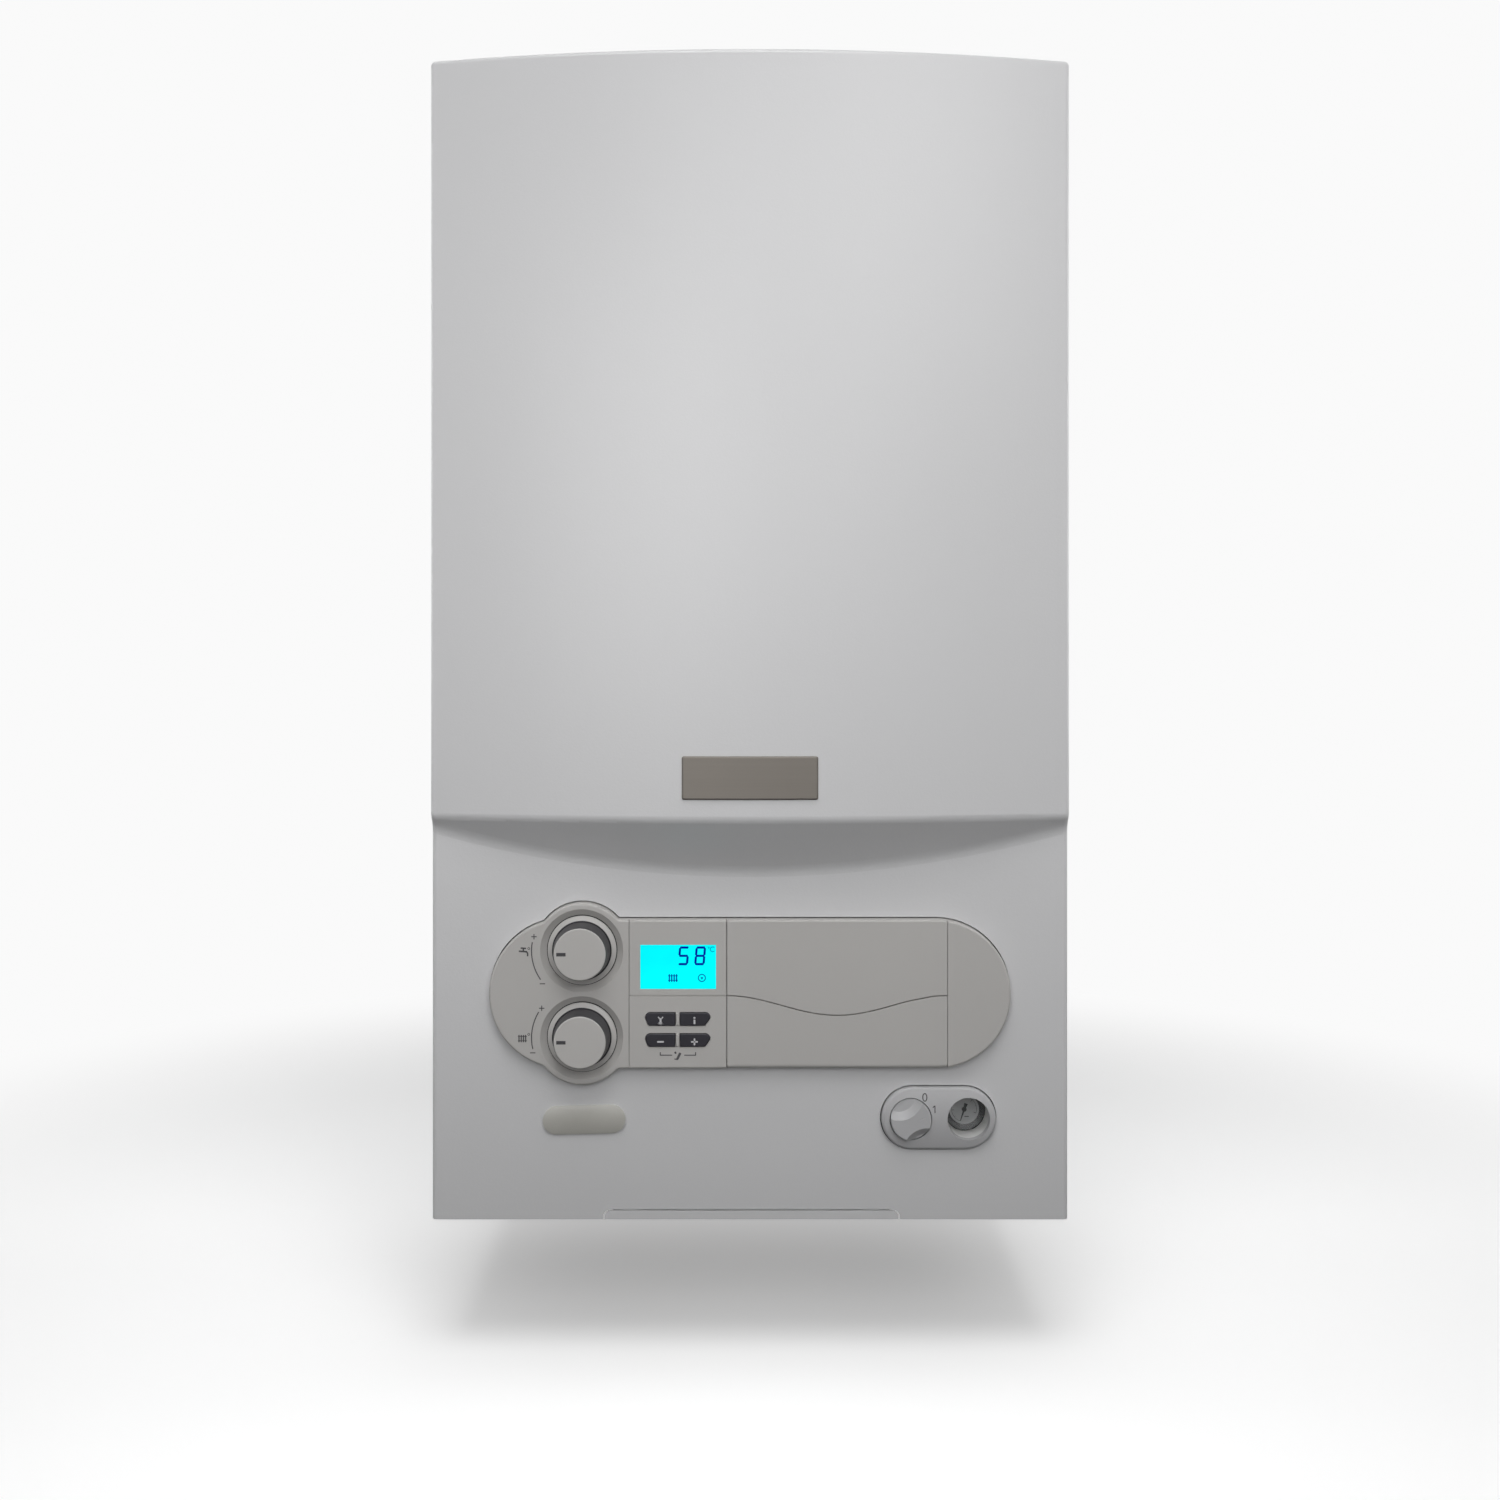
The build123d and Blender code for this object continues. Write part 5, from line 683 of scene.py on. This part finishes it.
def letter(text, x, z, high, face):
    """A printed character, its middle at (x, z) and its full height given."""
    clear_hands()
    bpy.ops.object.text_add(location=(0, 0, 0), rotation=(math.radians(90), 0, 0))
    sign = bpy.context.object
    sign.data.body = text
    sign.data.extrude = 0.5
    bpy.ops.object.convert(target="MESH")
    sign = bake_place()
    corners = [vertex.co for vertex in sign.data.vertices]
    low = [min(c[axis] for c in corners) for axis in range(3)]
    top = [max(c[axis] for c in corners) for axis in range(3)]
    scale = high / (top[2] - low[2])
    for vertex in sign.data.vertices:
        vertex.co.x = x + (vertex.co.x - (low[0] + top[0]) / 2) * scale
        vertex.co.z = z + (vertex.co.z - (low[2] + top[2]) / 2) * scale
        vertex.co.y = face - INK_GAP - (0 if vertex.co.y > 0 else INK)
    return sign


BARS = 4
RAIL_AT = 0.3               # from the middle, as a share of the radiator's height
RAIL_LINE = 0.55            # thickness, as a share of a bar's


def radiator(x, z, wide, high, face, line):
    """Pictogram of a radiator: upright bars between two rails."""
    marks = []
    pitch = (wide - line) / (BARS - 1)
    for number in range(BARS):
        marks.append(stroke(x - wide / 2 + line / 2 + number * pitch, z, line, high, face, corner=SHARP))
    for end in (-1, 1):
        marks.append(stroke(x, z + end * high * RAIL_AT, wide + line, line * RAIL_LINE, face, corner=SHARP))
    return marks


def tap(x, z, size, face):
    """Pictogram of a bib tap: handle, stem, body and a spout that turns down."""
    line = size * 0.17
    return [stroke(x - size * 0.02, z + size * 0.42, size * 0.62, line, face, lean=-4),
            stroke(x - size * 0.02, z + size * 0.27, line, size * 0.36, face),
            stroke(x - size * 0.06, z + size * 0.06, size * 0.95, line * 1.1, face, lean=-4),
            arc(x + size * 0.20, z - size * 0.22, size * 0.26, line, 0, 95, face),
            stroke(x + size * 0.46, z - size * 0.34, line, size * 0.28, face, lean=-6)]


def on_circle(x, z, radius, degrees):
    """A point on a circle, anticlockwise from three o'clock, seen from the front."""
    return x + radius * math.cos(math.radians(degrees)), z + radius * math.sin(math.radians(degrees))


PLUS = 0.0038
PLUS_LINE = 0.0007
SCALE_R = 0.0345
SCALE_LINE = 0.0008
PLUS_R = 0.0342
MINUS_R = 0.0352
# degrees of each scale's start and end, and of its plus and minus: the upper scale hangs down a little
SCALES = {"hot_water_knob": (170, 215, 163.5, 220), "heating_knob": (149, 193, 143.5, 197)}
SIGN_X = -0.1557
TAP = 0.0062
RADIATOR = (0.0054, 0.0050)
RADIATOR_LINE = 0.00085
DEGREE_R = 0.0009
DEGREE_LINE = 0.0004
knob_middles = {}
marks = []
for node, (scale_start, scale_end, plus_angle, minus_angle) in SCALES.items():
    low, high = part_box(node)
    x, z = (low[0] + high[0]) / 2, (low[2] + high[2]) / 2
    knob_middles[node] = (x, z)
    marks.append(arc(x, z, SCALE_R, SCALE_LINE, scale_start, scale_end - scale_start, fascia_y))
    plus = on_circle(x, z, PLUS_R, plus_angle)
    marks.append(stroke(*plus, PLUS, PLUS_LINE, fascia_y))
    marks.append(stroke(*plus, PLUS_LINE, PLUS, fascia_y))
    marks.append(stroke(*on_circle(x, z, MINUS_R, minus_angle), PLUS, PLUS_LINE, fascia_y))
hot_z = knob_middles["hot_water_knob"][1]
heat_z = knob_middles["heating_knob"][1]
marks += tap(SIGN_X, hot_z - 0.0008, TAP, fascia_y)
marks += radiator(SIGN_X - 0.0008, heat_z - 0.0005, *RADIATOR, fascia_y, RADIATOR_LINE)
for sign_z in (hot_z + 0.0016, heat_z + 0.0024):
    marks.append(ring(SIGN_X + 0.0036, sign_z, DEGREE_R, DEGREE_LINE, fascia_y, sides=20))
settle(join(marks), "knob_scale_print", "chassis", ink_grey)


# --- Temperature knobs ---------------------------------------------------------------------------
# Moulded grey knobs: a skirt that lies in the dish, and a cap with a slanting side and a pointer groove
# let into its face. Painted shade: the cap's side and the groove's floor in charcoal, a thin dark ring
# round the cap's foot, and a black ring laid in the gap round each skirt.
CAP_SHADE_BAND = (0.0004, 0.0158)  # where the painted shade on the cap's side starts and ends behind the cap's face
# charcoal painted on the cap's side and groove floor as painted shade
CAP_SHADE_TONE = (0.058, 0.056, 0.062, 1)


def knob_finish(name, node):
    """Panel grey, with painted shade: the cap's side and the floor of its pointer groove in charcoal."""
    made = finish(name, PEEL, {"Scale": 1800, "Cloud": 14}, (0.55, 0.537, 0.52), (0.59, 0.577, 0.56),
                  (0.36, 0.46), 0.00004)
    nodes = made.node_tree.nodes
    link = made.node_tree.links.new
    face_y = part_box(node)[0][1]
    spot = nodes.new("ShaderNodeTexCoord")
    axes = nodes.new("ShaderNodeSeparateXYZ")
    # painted shade: everything just behind the cap's face, its side and the groove's floor, turns charcoal
    cap_shade_from = sum_up(nodes, "GREATER_THAN", face_y + CAP_SHADE_BAND[0])
    cap_shade_to = sum_up(nodes, "LESS_THAN", face_y + CAP_SHADE_BAND[1])
    cap_shade = sum_up(nodes, "MULTIPLY")
    cap_shaded = colour_mix(nodes, high=CAP_SHADE_TONE)
    surface = nodes["Principled BSDF"]
    grey = surface.inputs["Base Color"].links[0].from_socket
    link(spot.outputs["Object"], axes.inputs["Vector"])
    link(axes.outputs["Y"], cap_shade_from.inputs[0])
    link(axes.outputs["Y"], cap_shade_to.inputs[0])
    link(cap_shade_from.outputs["Value"], cap_shade.inputs[0])
    link(cap_shade_to.outputs["Value"], cap_shade.inputs[1])
    link(cap_shade.outputs["Value"], cap_shaded.inputs[0])
    link(grey, cap_shaded.inputs[6])
    link(cap_shaded.outputs[2], surface.inputs["Base Color"])
    return made


CAP_SHADE_RING_R = 0.0200          # dark ring round the cap's foot: painted shade in the gap between cap and skirt
CAP_SHADE_RING_T = 0.00055
CAP_SHADE_RING_Y = -0.3121
# a thin black ring laid on the dish floor: painted shade in the gap round each skirt
GAP_SHADE_R = (0.0216, 0.0243)
GAP_SHADE_T = 0.0002
DISH_Y = -0.309
# near-black finish of those rings, which stand for shade
gap_shade_black = finish("gap_shade_black", PEEL, {"Scale": 900, "Cloud": 90}, (0.012, 0.012, 0.013),
                    (0.022, 0.022, 0.024), (0.85, 0.95), 0.0001)
shade_rings = []
for node in SCALES:
    dress(knob_finish(node + "_finish", node), node)
    shade_rings.append(ring(*knob_middles[node], GAP_SHADE_R[1], GAP_SHADE_R[1] - GAP_SHADE_R[0], DISH_Y, ink=GAP_SHADE_T, sides=64))
settle(join(shade_rings), "knob_gap_shade_rings", "chassis", gap_shade_black)
# near-black finish of the thin rings at the caps' feet, which stand for shade
cap_foot_shade = finish("cap_foot_shade", PEEL, {"Scale": 1200, "Cloud": 60}, (0.020, 0.019, 0.022),
                     (0.032, 0.031, 0.034), (0.5, 0.65), 0.00005)
for node, body in (("hot_water_knob", "hot_water_dial"), ("heating_knob", "heating_dial")):
    x, z = knob_middles[node]
    clear_hands()
    bpy.ops.mesh.primitive_torus_add(major_segments=72, minor_segments=10, major_radius=CAP_SHADE_RING_R,
                                     minor_radius=CAP_SHADE_RING_T, location=(x, CAP_SHADE_RING_Y, z),
                                     rotation=(math.radians(90), 0, 0))
    settle(bake_place(), node.replace("knob", "foot_shade_ring"), body, cap_foot_shade)


# --- Display -------------------------------------------------------------------------------------
# Backlit liquid crystal under a clear window. The lit segments are dark blue on cyan, slanted like
# those of any seven-segment glass, with a radiator and a clock sign below.
def backlight(name, low, high):
    """Coloured light from behind the glass, in patches of two close tones, on a nearly black base."""
    made = bpy.data.materials.new(name)
    made.use_nodes = True
    nodes = made.node_tree.nodes
    link = made.node_tree.links.new
    surface = nodes["Principled BSDF"]
    surface.inputs["Roughness"].default_value = 0.12
    surface.inputs["Specular IOR Level"].default_value = 0.06
    surface.inputs["Emission Strength"].default_value = 1.0
    cover = nodes.new("ShaderNodeGroup")
    cover.node_tree = PEEL
    cover.inputs["Cloud"].default_value = 30
    tone = colour_mix(nodes, (*low, 1), (*high, 1))
    spread = map_range(nodes, (0.3, 0.6), (0, 1))
    link(cover.outputs["Mask"], spread.inputs["Value"])
    link(spread.outputs["Result"], tone.inputs[0])
    link(tone.outputs[2], surface.inputs["Emission Color"])
    dim = colour_mix(nodes, high=(0, 0, 0, 1), share=0.96)
    link(tone.outputs[2], dim.inputs[6])
    link(dim.outputs[2], surface.inputs["Base Color"])
    return made


cyan_light = backlight("cyan_backlight", (0.0, 0.90, 0.96), (0.0, 1.0, 1.0))
dress(cyan_light, "display_window")
segment_blue = backlight("segment_blue", (0.0, 0.006, 0.26), (0.0, 0.010, 0.34))
faint_blue = backlight("faint_segment_blue", (0.0, 0.18, 0.42), (0.0, 0.24, 0.5))

window_low, window_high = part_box("display_window")
window_y = window_low[1]
DIGIT_H = 0.0129
DIGIT_W = 0.0072
SEGMENT = 0.0015
SEGMENT_POINT = 0.42        # bevel of a segment's ends, as a share of its thickness
SLANT = math.radians(5)
# segments a to g of a digit: middle (share of width, share of height) and whether it lies flat
SEGMENTS = {"a": (0, 1, True), "b": (1, 0.5, False), "c": (1, -0.5, False), "d": (0, -1, True),
            "e": (-1, -0.5, False), "f": (-1, 0.5, False), "g": (0, 0, True)}
LIT = {"5": "afgcd", "8": "abcdefg"}


def digit(shape, x, z, face):
    """One seven-segment digit: pointed bars, slanted about the digit's middle."""
    bars = []
    across = (DIGIT_W - SEGMENT) / 2
    up = (DIGIT_H - SEGMENT) / 2
    for key in LIT[shape]:
        side, rise, flat = SEGMENTS[key]
        long_side = (DIGIT_W if flat else DIGIT_H / 2) - SEGMENT * 0.9
        size = (long_side, SEGMENT) if flat else (SEGMENT, long_side)
        bars.append(stroke(x + side * across, z + rise * up, *size, face, corner=SEGMENT_POINT))
    whole = join(bars)
    for vertex in whole.data.vertices:
        vertex.co.x += math.tan(SLANT) * (vertex.co.z - z)
    return whole


DIGIT_DROP = 0.0076         # from the window's upper edge to the digits' middle
DIGITS = (("5", 0.0297), ("8", 0.0411))
GLASS_RADIATOR = (0.0224, 0.0074)
GLASS_RADIATOR_SIZE = (0.0058, 0.0052)
GLASS_LINE = 0.0008
CLOCK = (0.0423, 0.0075)
CLOCK_R = 0.0027
CLOCK_LINE = 0.00055
CLOCK_HAND_R = 0.0011
CELSIUS = (0.0026, 0.0031)  # from the window's upper right corner
CELSIUS_H = 0.0036
CELSIUS_RING = (0.0050, 0.0020)
left, right = window_low[0], window_high[0]
foot, top = window_low[2], window_high[2]
digits = [digit(shape, left + along, top - DIGIT_DROP, window_y) for shape, along in DIGITS]
digits += radiator(left + GLASS_RADIATOR[0], foot + GLASS_RADIATOR[1], *GLASS_RADIATOR_SIZE, window_y,
                   GLASS_LINE)
clock_x = left + CLOCK[0]
clock_z = foot + CLOCK[1]
digits.append(ring(clock_x, clock_z, CLOCK_R, CLOCK_LINE, window_y, sides=32))
clear_hands()
bpy.ops.mesh.primitive_cylinder_add(vertices=3, radius=CLOCK_HAND_R, depth=INK,
                                    rotation=(math.radians(-90), 0, 0),
                                    location=(clock_x, window_y - INK_GAP - INK / 2, clock_z - 0.0001))
digits.append(bake_place())
settle(join(digits), "display_digits", "chassis", segment_blue)
signs = [letter("C", right - CELSIUS[0], top - CELSIUS[1], CELSIUS_H, window_y)]
signs.append(ring(right - CELSIUS_RING[0], top - CELSIUS_RING[1], 0.0006, 0.0003, window_y, sides=20))
settle(join(signs), "display_signs", "chassis", faint_blue)


# --- Push buttons --------------------------------------------------------------------------------
# Four dark moulded keys in two rows, with pale symbols printed on them, and a bracket printed
# underneath for the pair that is held down together.
key_dark = finish("key_dark", PEEL, {"Scale": 1500, "Cloud": 40}, (0.018, 0.017, 0.024),
                  (0.028, 0.026, 0.036), (0.34, 0.44), 0.00005)
dress(key_dark, "reset_button", "info_button", "minus_button", "plus_button")
key_ink = finish("key_ink", PEEL, {"Scale": 2500, "Cloud": 300}, (0.62, 0.62, 0.64), (0.72, 0.72, 0.74),
                 (0.45, 0.55), 0.00001)
KEY_SIGN = 0.0047
KEY_LINE = 0.0011
KEY_CORNER = 0.2
HOURGLASS_X = 0.0002
HOURGLASS_Z = -0.0009
# bars of each key's symbol from the key's middle: right, up, width, height, lean and corner
KEY_SIGNS = {
    "minus": [(0.0002, -0.0010, KEY_SIGN, KEY_LINE, 0, ROUND)],
    "plus": [(-0.0004, -0.0010, KEY_SIGN, KEY_LINE, 0, ROUND),
             (-0.0004, -0.0010, KEY_LINE, KEY_SIGN, 0, ROUND)],
    "info": [(-0.0004, -0.0018, 0.0013, 0.0031, 0, KEY_CORNER),
             (-0.0004, 0.0010, 0.0014, 0.0012, 0, ROUND)],
    "reset": [(HOURGLASS_X, HOURGLASS_Z, 0.0014, 0.0034, 0, KEY_CORNER),
              (HOURGLASS_X, HOURGLASS_Z - 0.0022, 0.0036, 0.0008, 0, ROUND)]
             + [(HOURGLASS_X + side * 0.0011, HOURGLASS_Z + up * 0.0018, 0.0008, 0.0020,
                 -side * up * 38, ROUND) for side in (-1, 1) for up in (-1, 1)],
}
for sign, bars in KEY_SIGNS.items():
    low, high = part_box(sign + "_button")
    x, z = (low[0] + high[0]) / 2, (low[2] + high[2]) / 2
    printed = [stroke(x + right, z + up, wide, tall, low[1], lean=lean, corner=corner)
               for right, up, wide, tall, lean, corner in bars]
    whole = join(printed) if len(printed) > 1 else printed[0]
    settle(whole, sign + "_print", sign + "_key", key_ink)

BRACKET_Z = -0.7 + 0.1156   # the frame's origin lies 0.7 above the casing's lower edge
BRACKET_LINE = 0.0007
BRACKET_TICK = 0.0024
BRACKET_ENDS = ((-0.0617, -0.0535), (-0.0374, -0.0452))  # outer and inner end of each half
bracket_print = []
for outer, inner in BRACKET_ENDS:
    bracket_print.append(stroke((outer + inner) / 2, BRACKET_Z, abs(outer - inner), BRACKET_LINE, fascia_y))
    bracket_print.append(stroke(outer, BRACKET_Z + 0.0009, BRACKET_LINE, BRACKET_TICK, fascia_y))
middle_x = sum(outer for outer, inner in BRACKET_ENDS) / 2
# a small spanner between the halves: shaft, jaw and thumb
for right, up, wide, tall, lean in ((0.0006, -0.0006, 0.0017, 0.0050, -26),
                                    (-0.0012, -0.0028, 0.0026, 0.0008, -8),
                                    (-0.0017, 0.0017, 0.0013, 0.0016, 30)):
    bracket_print.append(stroke(middle_x + right, BRACKET_Z + up, wide, tall, fascia_y, lean=lean))
settle(join(bracket_print), "key_bracket_print", "chassis", ink_grey)


# --- Switch and gauge pod ------------------------------------------------------------------------
# Light grey moulded pod with the mains switch, its two plain numbers, and a short tube down to the
# pressure gauge, whose dial lies deep behind the face. A plain bar stands where a dial has its unit.
pod_grey = finish("pod_grey", PEEL, {"Scale": 1500, "Cloud": 18}, (0.51, 0.51, 0.52),
                  (0.55, 0.55, 0.56), (0.34, 0.44), 0.00005)
dress(pod_grey, "power_knob")
bezel_grey_tube_lit = pod_grey.copy()
bezel_grey_tube_lit.name = "bezel_grey_tube_lit"
TUBE_LIGHT_Y = -0.3045            # behind this plane the sight tube's wall is painted near white: painted light on the same grey moulding
TUBE_LIGHT_FADE = 0.001
nodes = bezel_grey_tube_lit.node_tree.nodes
link = bezel_grey_tube_lit.node_tree.links.new
# painted light: the sight tube's inner wall turns near white with depth
spot = nodes.new("ShaderNodeTexCoord")
axes = nodes.new("ShaderNodeSeparateXYZ")
behind = map_range(nodes, (TUBE_LIGHT_Y, TUBE_LIGHT_Y + TUBE_LIGHT_FADE), (0, 1))
white = colour_mix(nodes, high=(0.88, 0.88, 0.87, 1))
surface = nodes["Principled BSDF"]
grey = surface.inputs["Base Color"].links[0].from_socket
link(spot.outputs["Object"], axes.inputs["Vector"])
link(axes.outputs["Y"], behind.inputs["Value"])
link(behind.outputs["Result"], white.inputs[0])
link(grey, white.inputs[6])
link(white.outputs[2], surface.inputs["Base Color"])
dress(bezel_grey_tube_lit, "gauge_bezel")
pod_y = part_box("gauge_bezel")[0][1]
switch_low, switch_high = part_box("power_knob")
switch_x = (switch_low[0] + switch_high[0]) / 2
switch_z = (switch_low[2] + switch_high[2]) / 2
CROWN_R = 0.082             # the pod's face is crowned, and the numbers follow it
NOUGHT_H = 0.0057
ONE_H = 0.0050
ONE_FLAG = 0.0019
ONE_LINE = 0.0007
numbers = join([letter("0", switch_x + 0.0097, switch_z + 0.0149, NOUGHT_H, pod_y),
                stroke(switch_x + 0.0166, switch_z + 0.0069, ONE_LINE, ONE_H, pod_y, corner=SHARP),
                stroke(switch_x + 0.0158, switch_z + 0.0087, ONE_LINE, ONE_FLAG, pod_y, lean=-50)])
for vertex in numbers.data.vertices:
    vertex.co.y += CROWN_R - math.sqrt(CROWN_R ** 2 - (vertex.co.z - switch_z) ** 2)
settle(numbers, "switch_numbers", "chassis", ink_grey)

gauge_black = finish("gauge_black", PEEL, {"Scale": 1200, "Cloud": 60}, (0.018, 0.018, 0.022),
                     (0.032, 0.032, 0.036), (0.3, 0.42), 0.00005)
dress(gauge_black, "gauge_case")
dress(finish("needle_paint", PEEL, {"Scale": 2500, "Cloud": 90}, (0.010, 0.010, 0.012),
             (0.022, 0.022, 0.024), (0.4, 0.5), 0.00001), "gauge_needle")
dress(clear_pane("gauge_pane", (0.96, 0.97, 0.97), (0.01, 0.04)), "gauge_lens")
dial_grey = finish("dial_grey", PEEL, {"Scale": 1500, "Cloud": 120}, (0.52, 0.52, 0.525),
                   (0.58, 0.58, 0.585), (0.45, 0.55), 0.00002)
gauge_low, gauge_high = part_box("gauge_case")
gauge_x = (gauge_low[0] + gauge_high[0]) / 2
gauge_z = (gauge_low[2] + gauge_high[2]) / 2
DIAL_R = 0.0105
DIAL_T = 0.0002
DIAL_RIM = 0.0006
DIAL_RAISE = 0.00005        # how far the printed field stands over that rim
DIAL_Y = -0.2828
HUB_HOLE_R = 0.0011
HUB_TOOL = 0.004            # length of what cuts that hole, more than the dial is thick
clear_hands()
bpy.ops.mesh.primitive_cylinder_add(vertices=64, radius=DIAL_R, depth=DIAL_T,
                                    location=(gauge_x, DIAL_Y - DIAL_T / 2 - INK_GAP, gauge_z),
                                    rotation=(math.radians(90), 0, 0))
dial = bake_place()
pick(dial, "FACE", lambda f: f.normal.y < -0.9)
bpy.ops.mesh.inset(thickness=DIAL_RIM)
bpy.ops.transform.translate(value=(0, -DIAL_RAISE, 0))
clear_hands()
bpy.ops.mesh.primitive_cylinder_add(vertices=24, radius=HUB_HOLE_R, depth=HUB_TOOL,
                                    location=(gauge_x, DIAL_Y, gauge_z),
                                    rotation=(math.radians(90), 0, 0))
cut(dial, bake_place())
settle(dial, "gauge_dial", "chassis", dial_grey)
dial_face = DIAL_Y - DIAL_T - DIAL_RAISE - INK_GAP
DIAL_INK = 0.00003
DIAL_SCALE_R = 0.0088
DIAL_LINE = 0.00025
DIAL_START = 252            # degrees of the zero mark, where the needle rests
DIAL_SWEEP = -270
DIAL_STEPS = 8
DIAL_MARKS = ((0.0018, 0.00032), (0.0011, 0.00022))  # length and width of a long and a short mark
UNIT_BAR = (0.0032, 0.0007)
scale_marks = [arc(gauge_x, gauge_z, DIAL_SCALE_R, DIAL_LINE, DIAL_START, DIAL_SWEEP, dial_face,
                   ink=DIAL_INK)]
for number in range(DIAL_STEPS + 1):
    degrees = DIAL_START + DIAL_SWEEP * number / DIAL_STEPS
    length, wide = DIAL_MARKS[number % 2]
    middle = on_circle(gauge_x, gauge_z, DIAL_SCALE_R - length / 2, degrees)
    scale_marks.append(stroke(*middle, length, wide, dial_face, lean=degrees, ink=DIAL_INK, corner=SHARP))
scale_marks.append(stroke(gauge_x + 0.0018, gauge_z - 0.0052, *UNIT_BAR, dial_face, ink=DIAL_INK))
settle(join(scale_marks), "gauge_scale", "chassis", ink_grey)


# --- Casing --------------------------------------------------------------------------------------
# Bowed front shell and side panels in white powder-coated sheet, which hooks over the chassis and
# is held by two captive screws behind the access cap at the bottom.
enamel = finish("white_enamel", PEEL, {"Scale": 700, "Cloud": 3}, (0.712, 0.712, 0.722),
                (0.745, 0.745, 0.755), (0.30, 0.38), 0.00006, Coat_Weight=0.6, Coat_Roughness=0.32)
dress(enamel, "front_casing", "left_side_panel", "right_side_panel")
dress(zinc_screw, "casing_screws")
cap_white = finish("cap_white", PEEL, {"Scale": 1300, "Cloud": 14}, (0.71, 0.71, 0.72),
                   (0.75, 0.75, 0.76), (0.34, 0.44), 0.00005)
dress(cap_white, "bottom_access_cap")
nickel = finish("satin_nickel", GRAIN, {"Along X": 6, "Along Y": 500, "Along Z": 500},
                (0.19, 0.173, 0.153), (0.235, 0.214, 0.19), (0.38, 0.52), 0.00002, Metallic=0.5)
dress(nickel, "nameplate")
pearl = finish("pearl_badge", PEEL, {"Scale": 2600, "Cloud": 40}, (0.49, 0.48, 0.44),
               (0.58, 0.57, 0.53), (0.3, 0.42), 0.00003, Coat_Weight=0.3)
dress(pearl, "model_badge")


bpy.ops.object.select_all(action="DESELECT")
low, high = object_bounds()
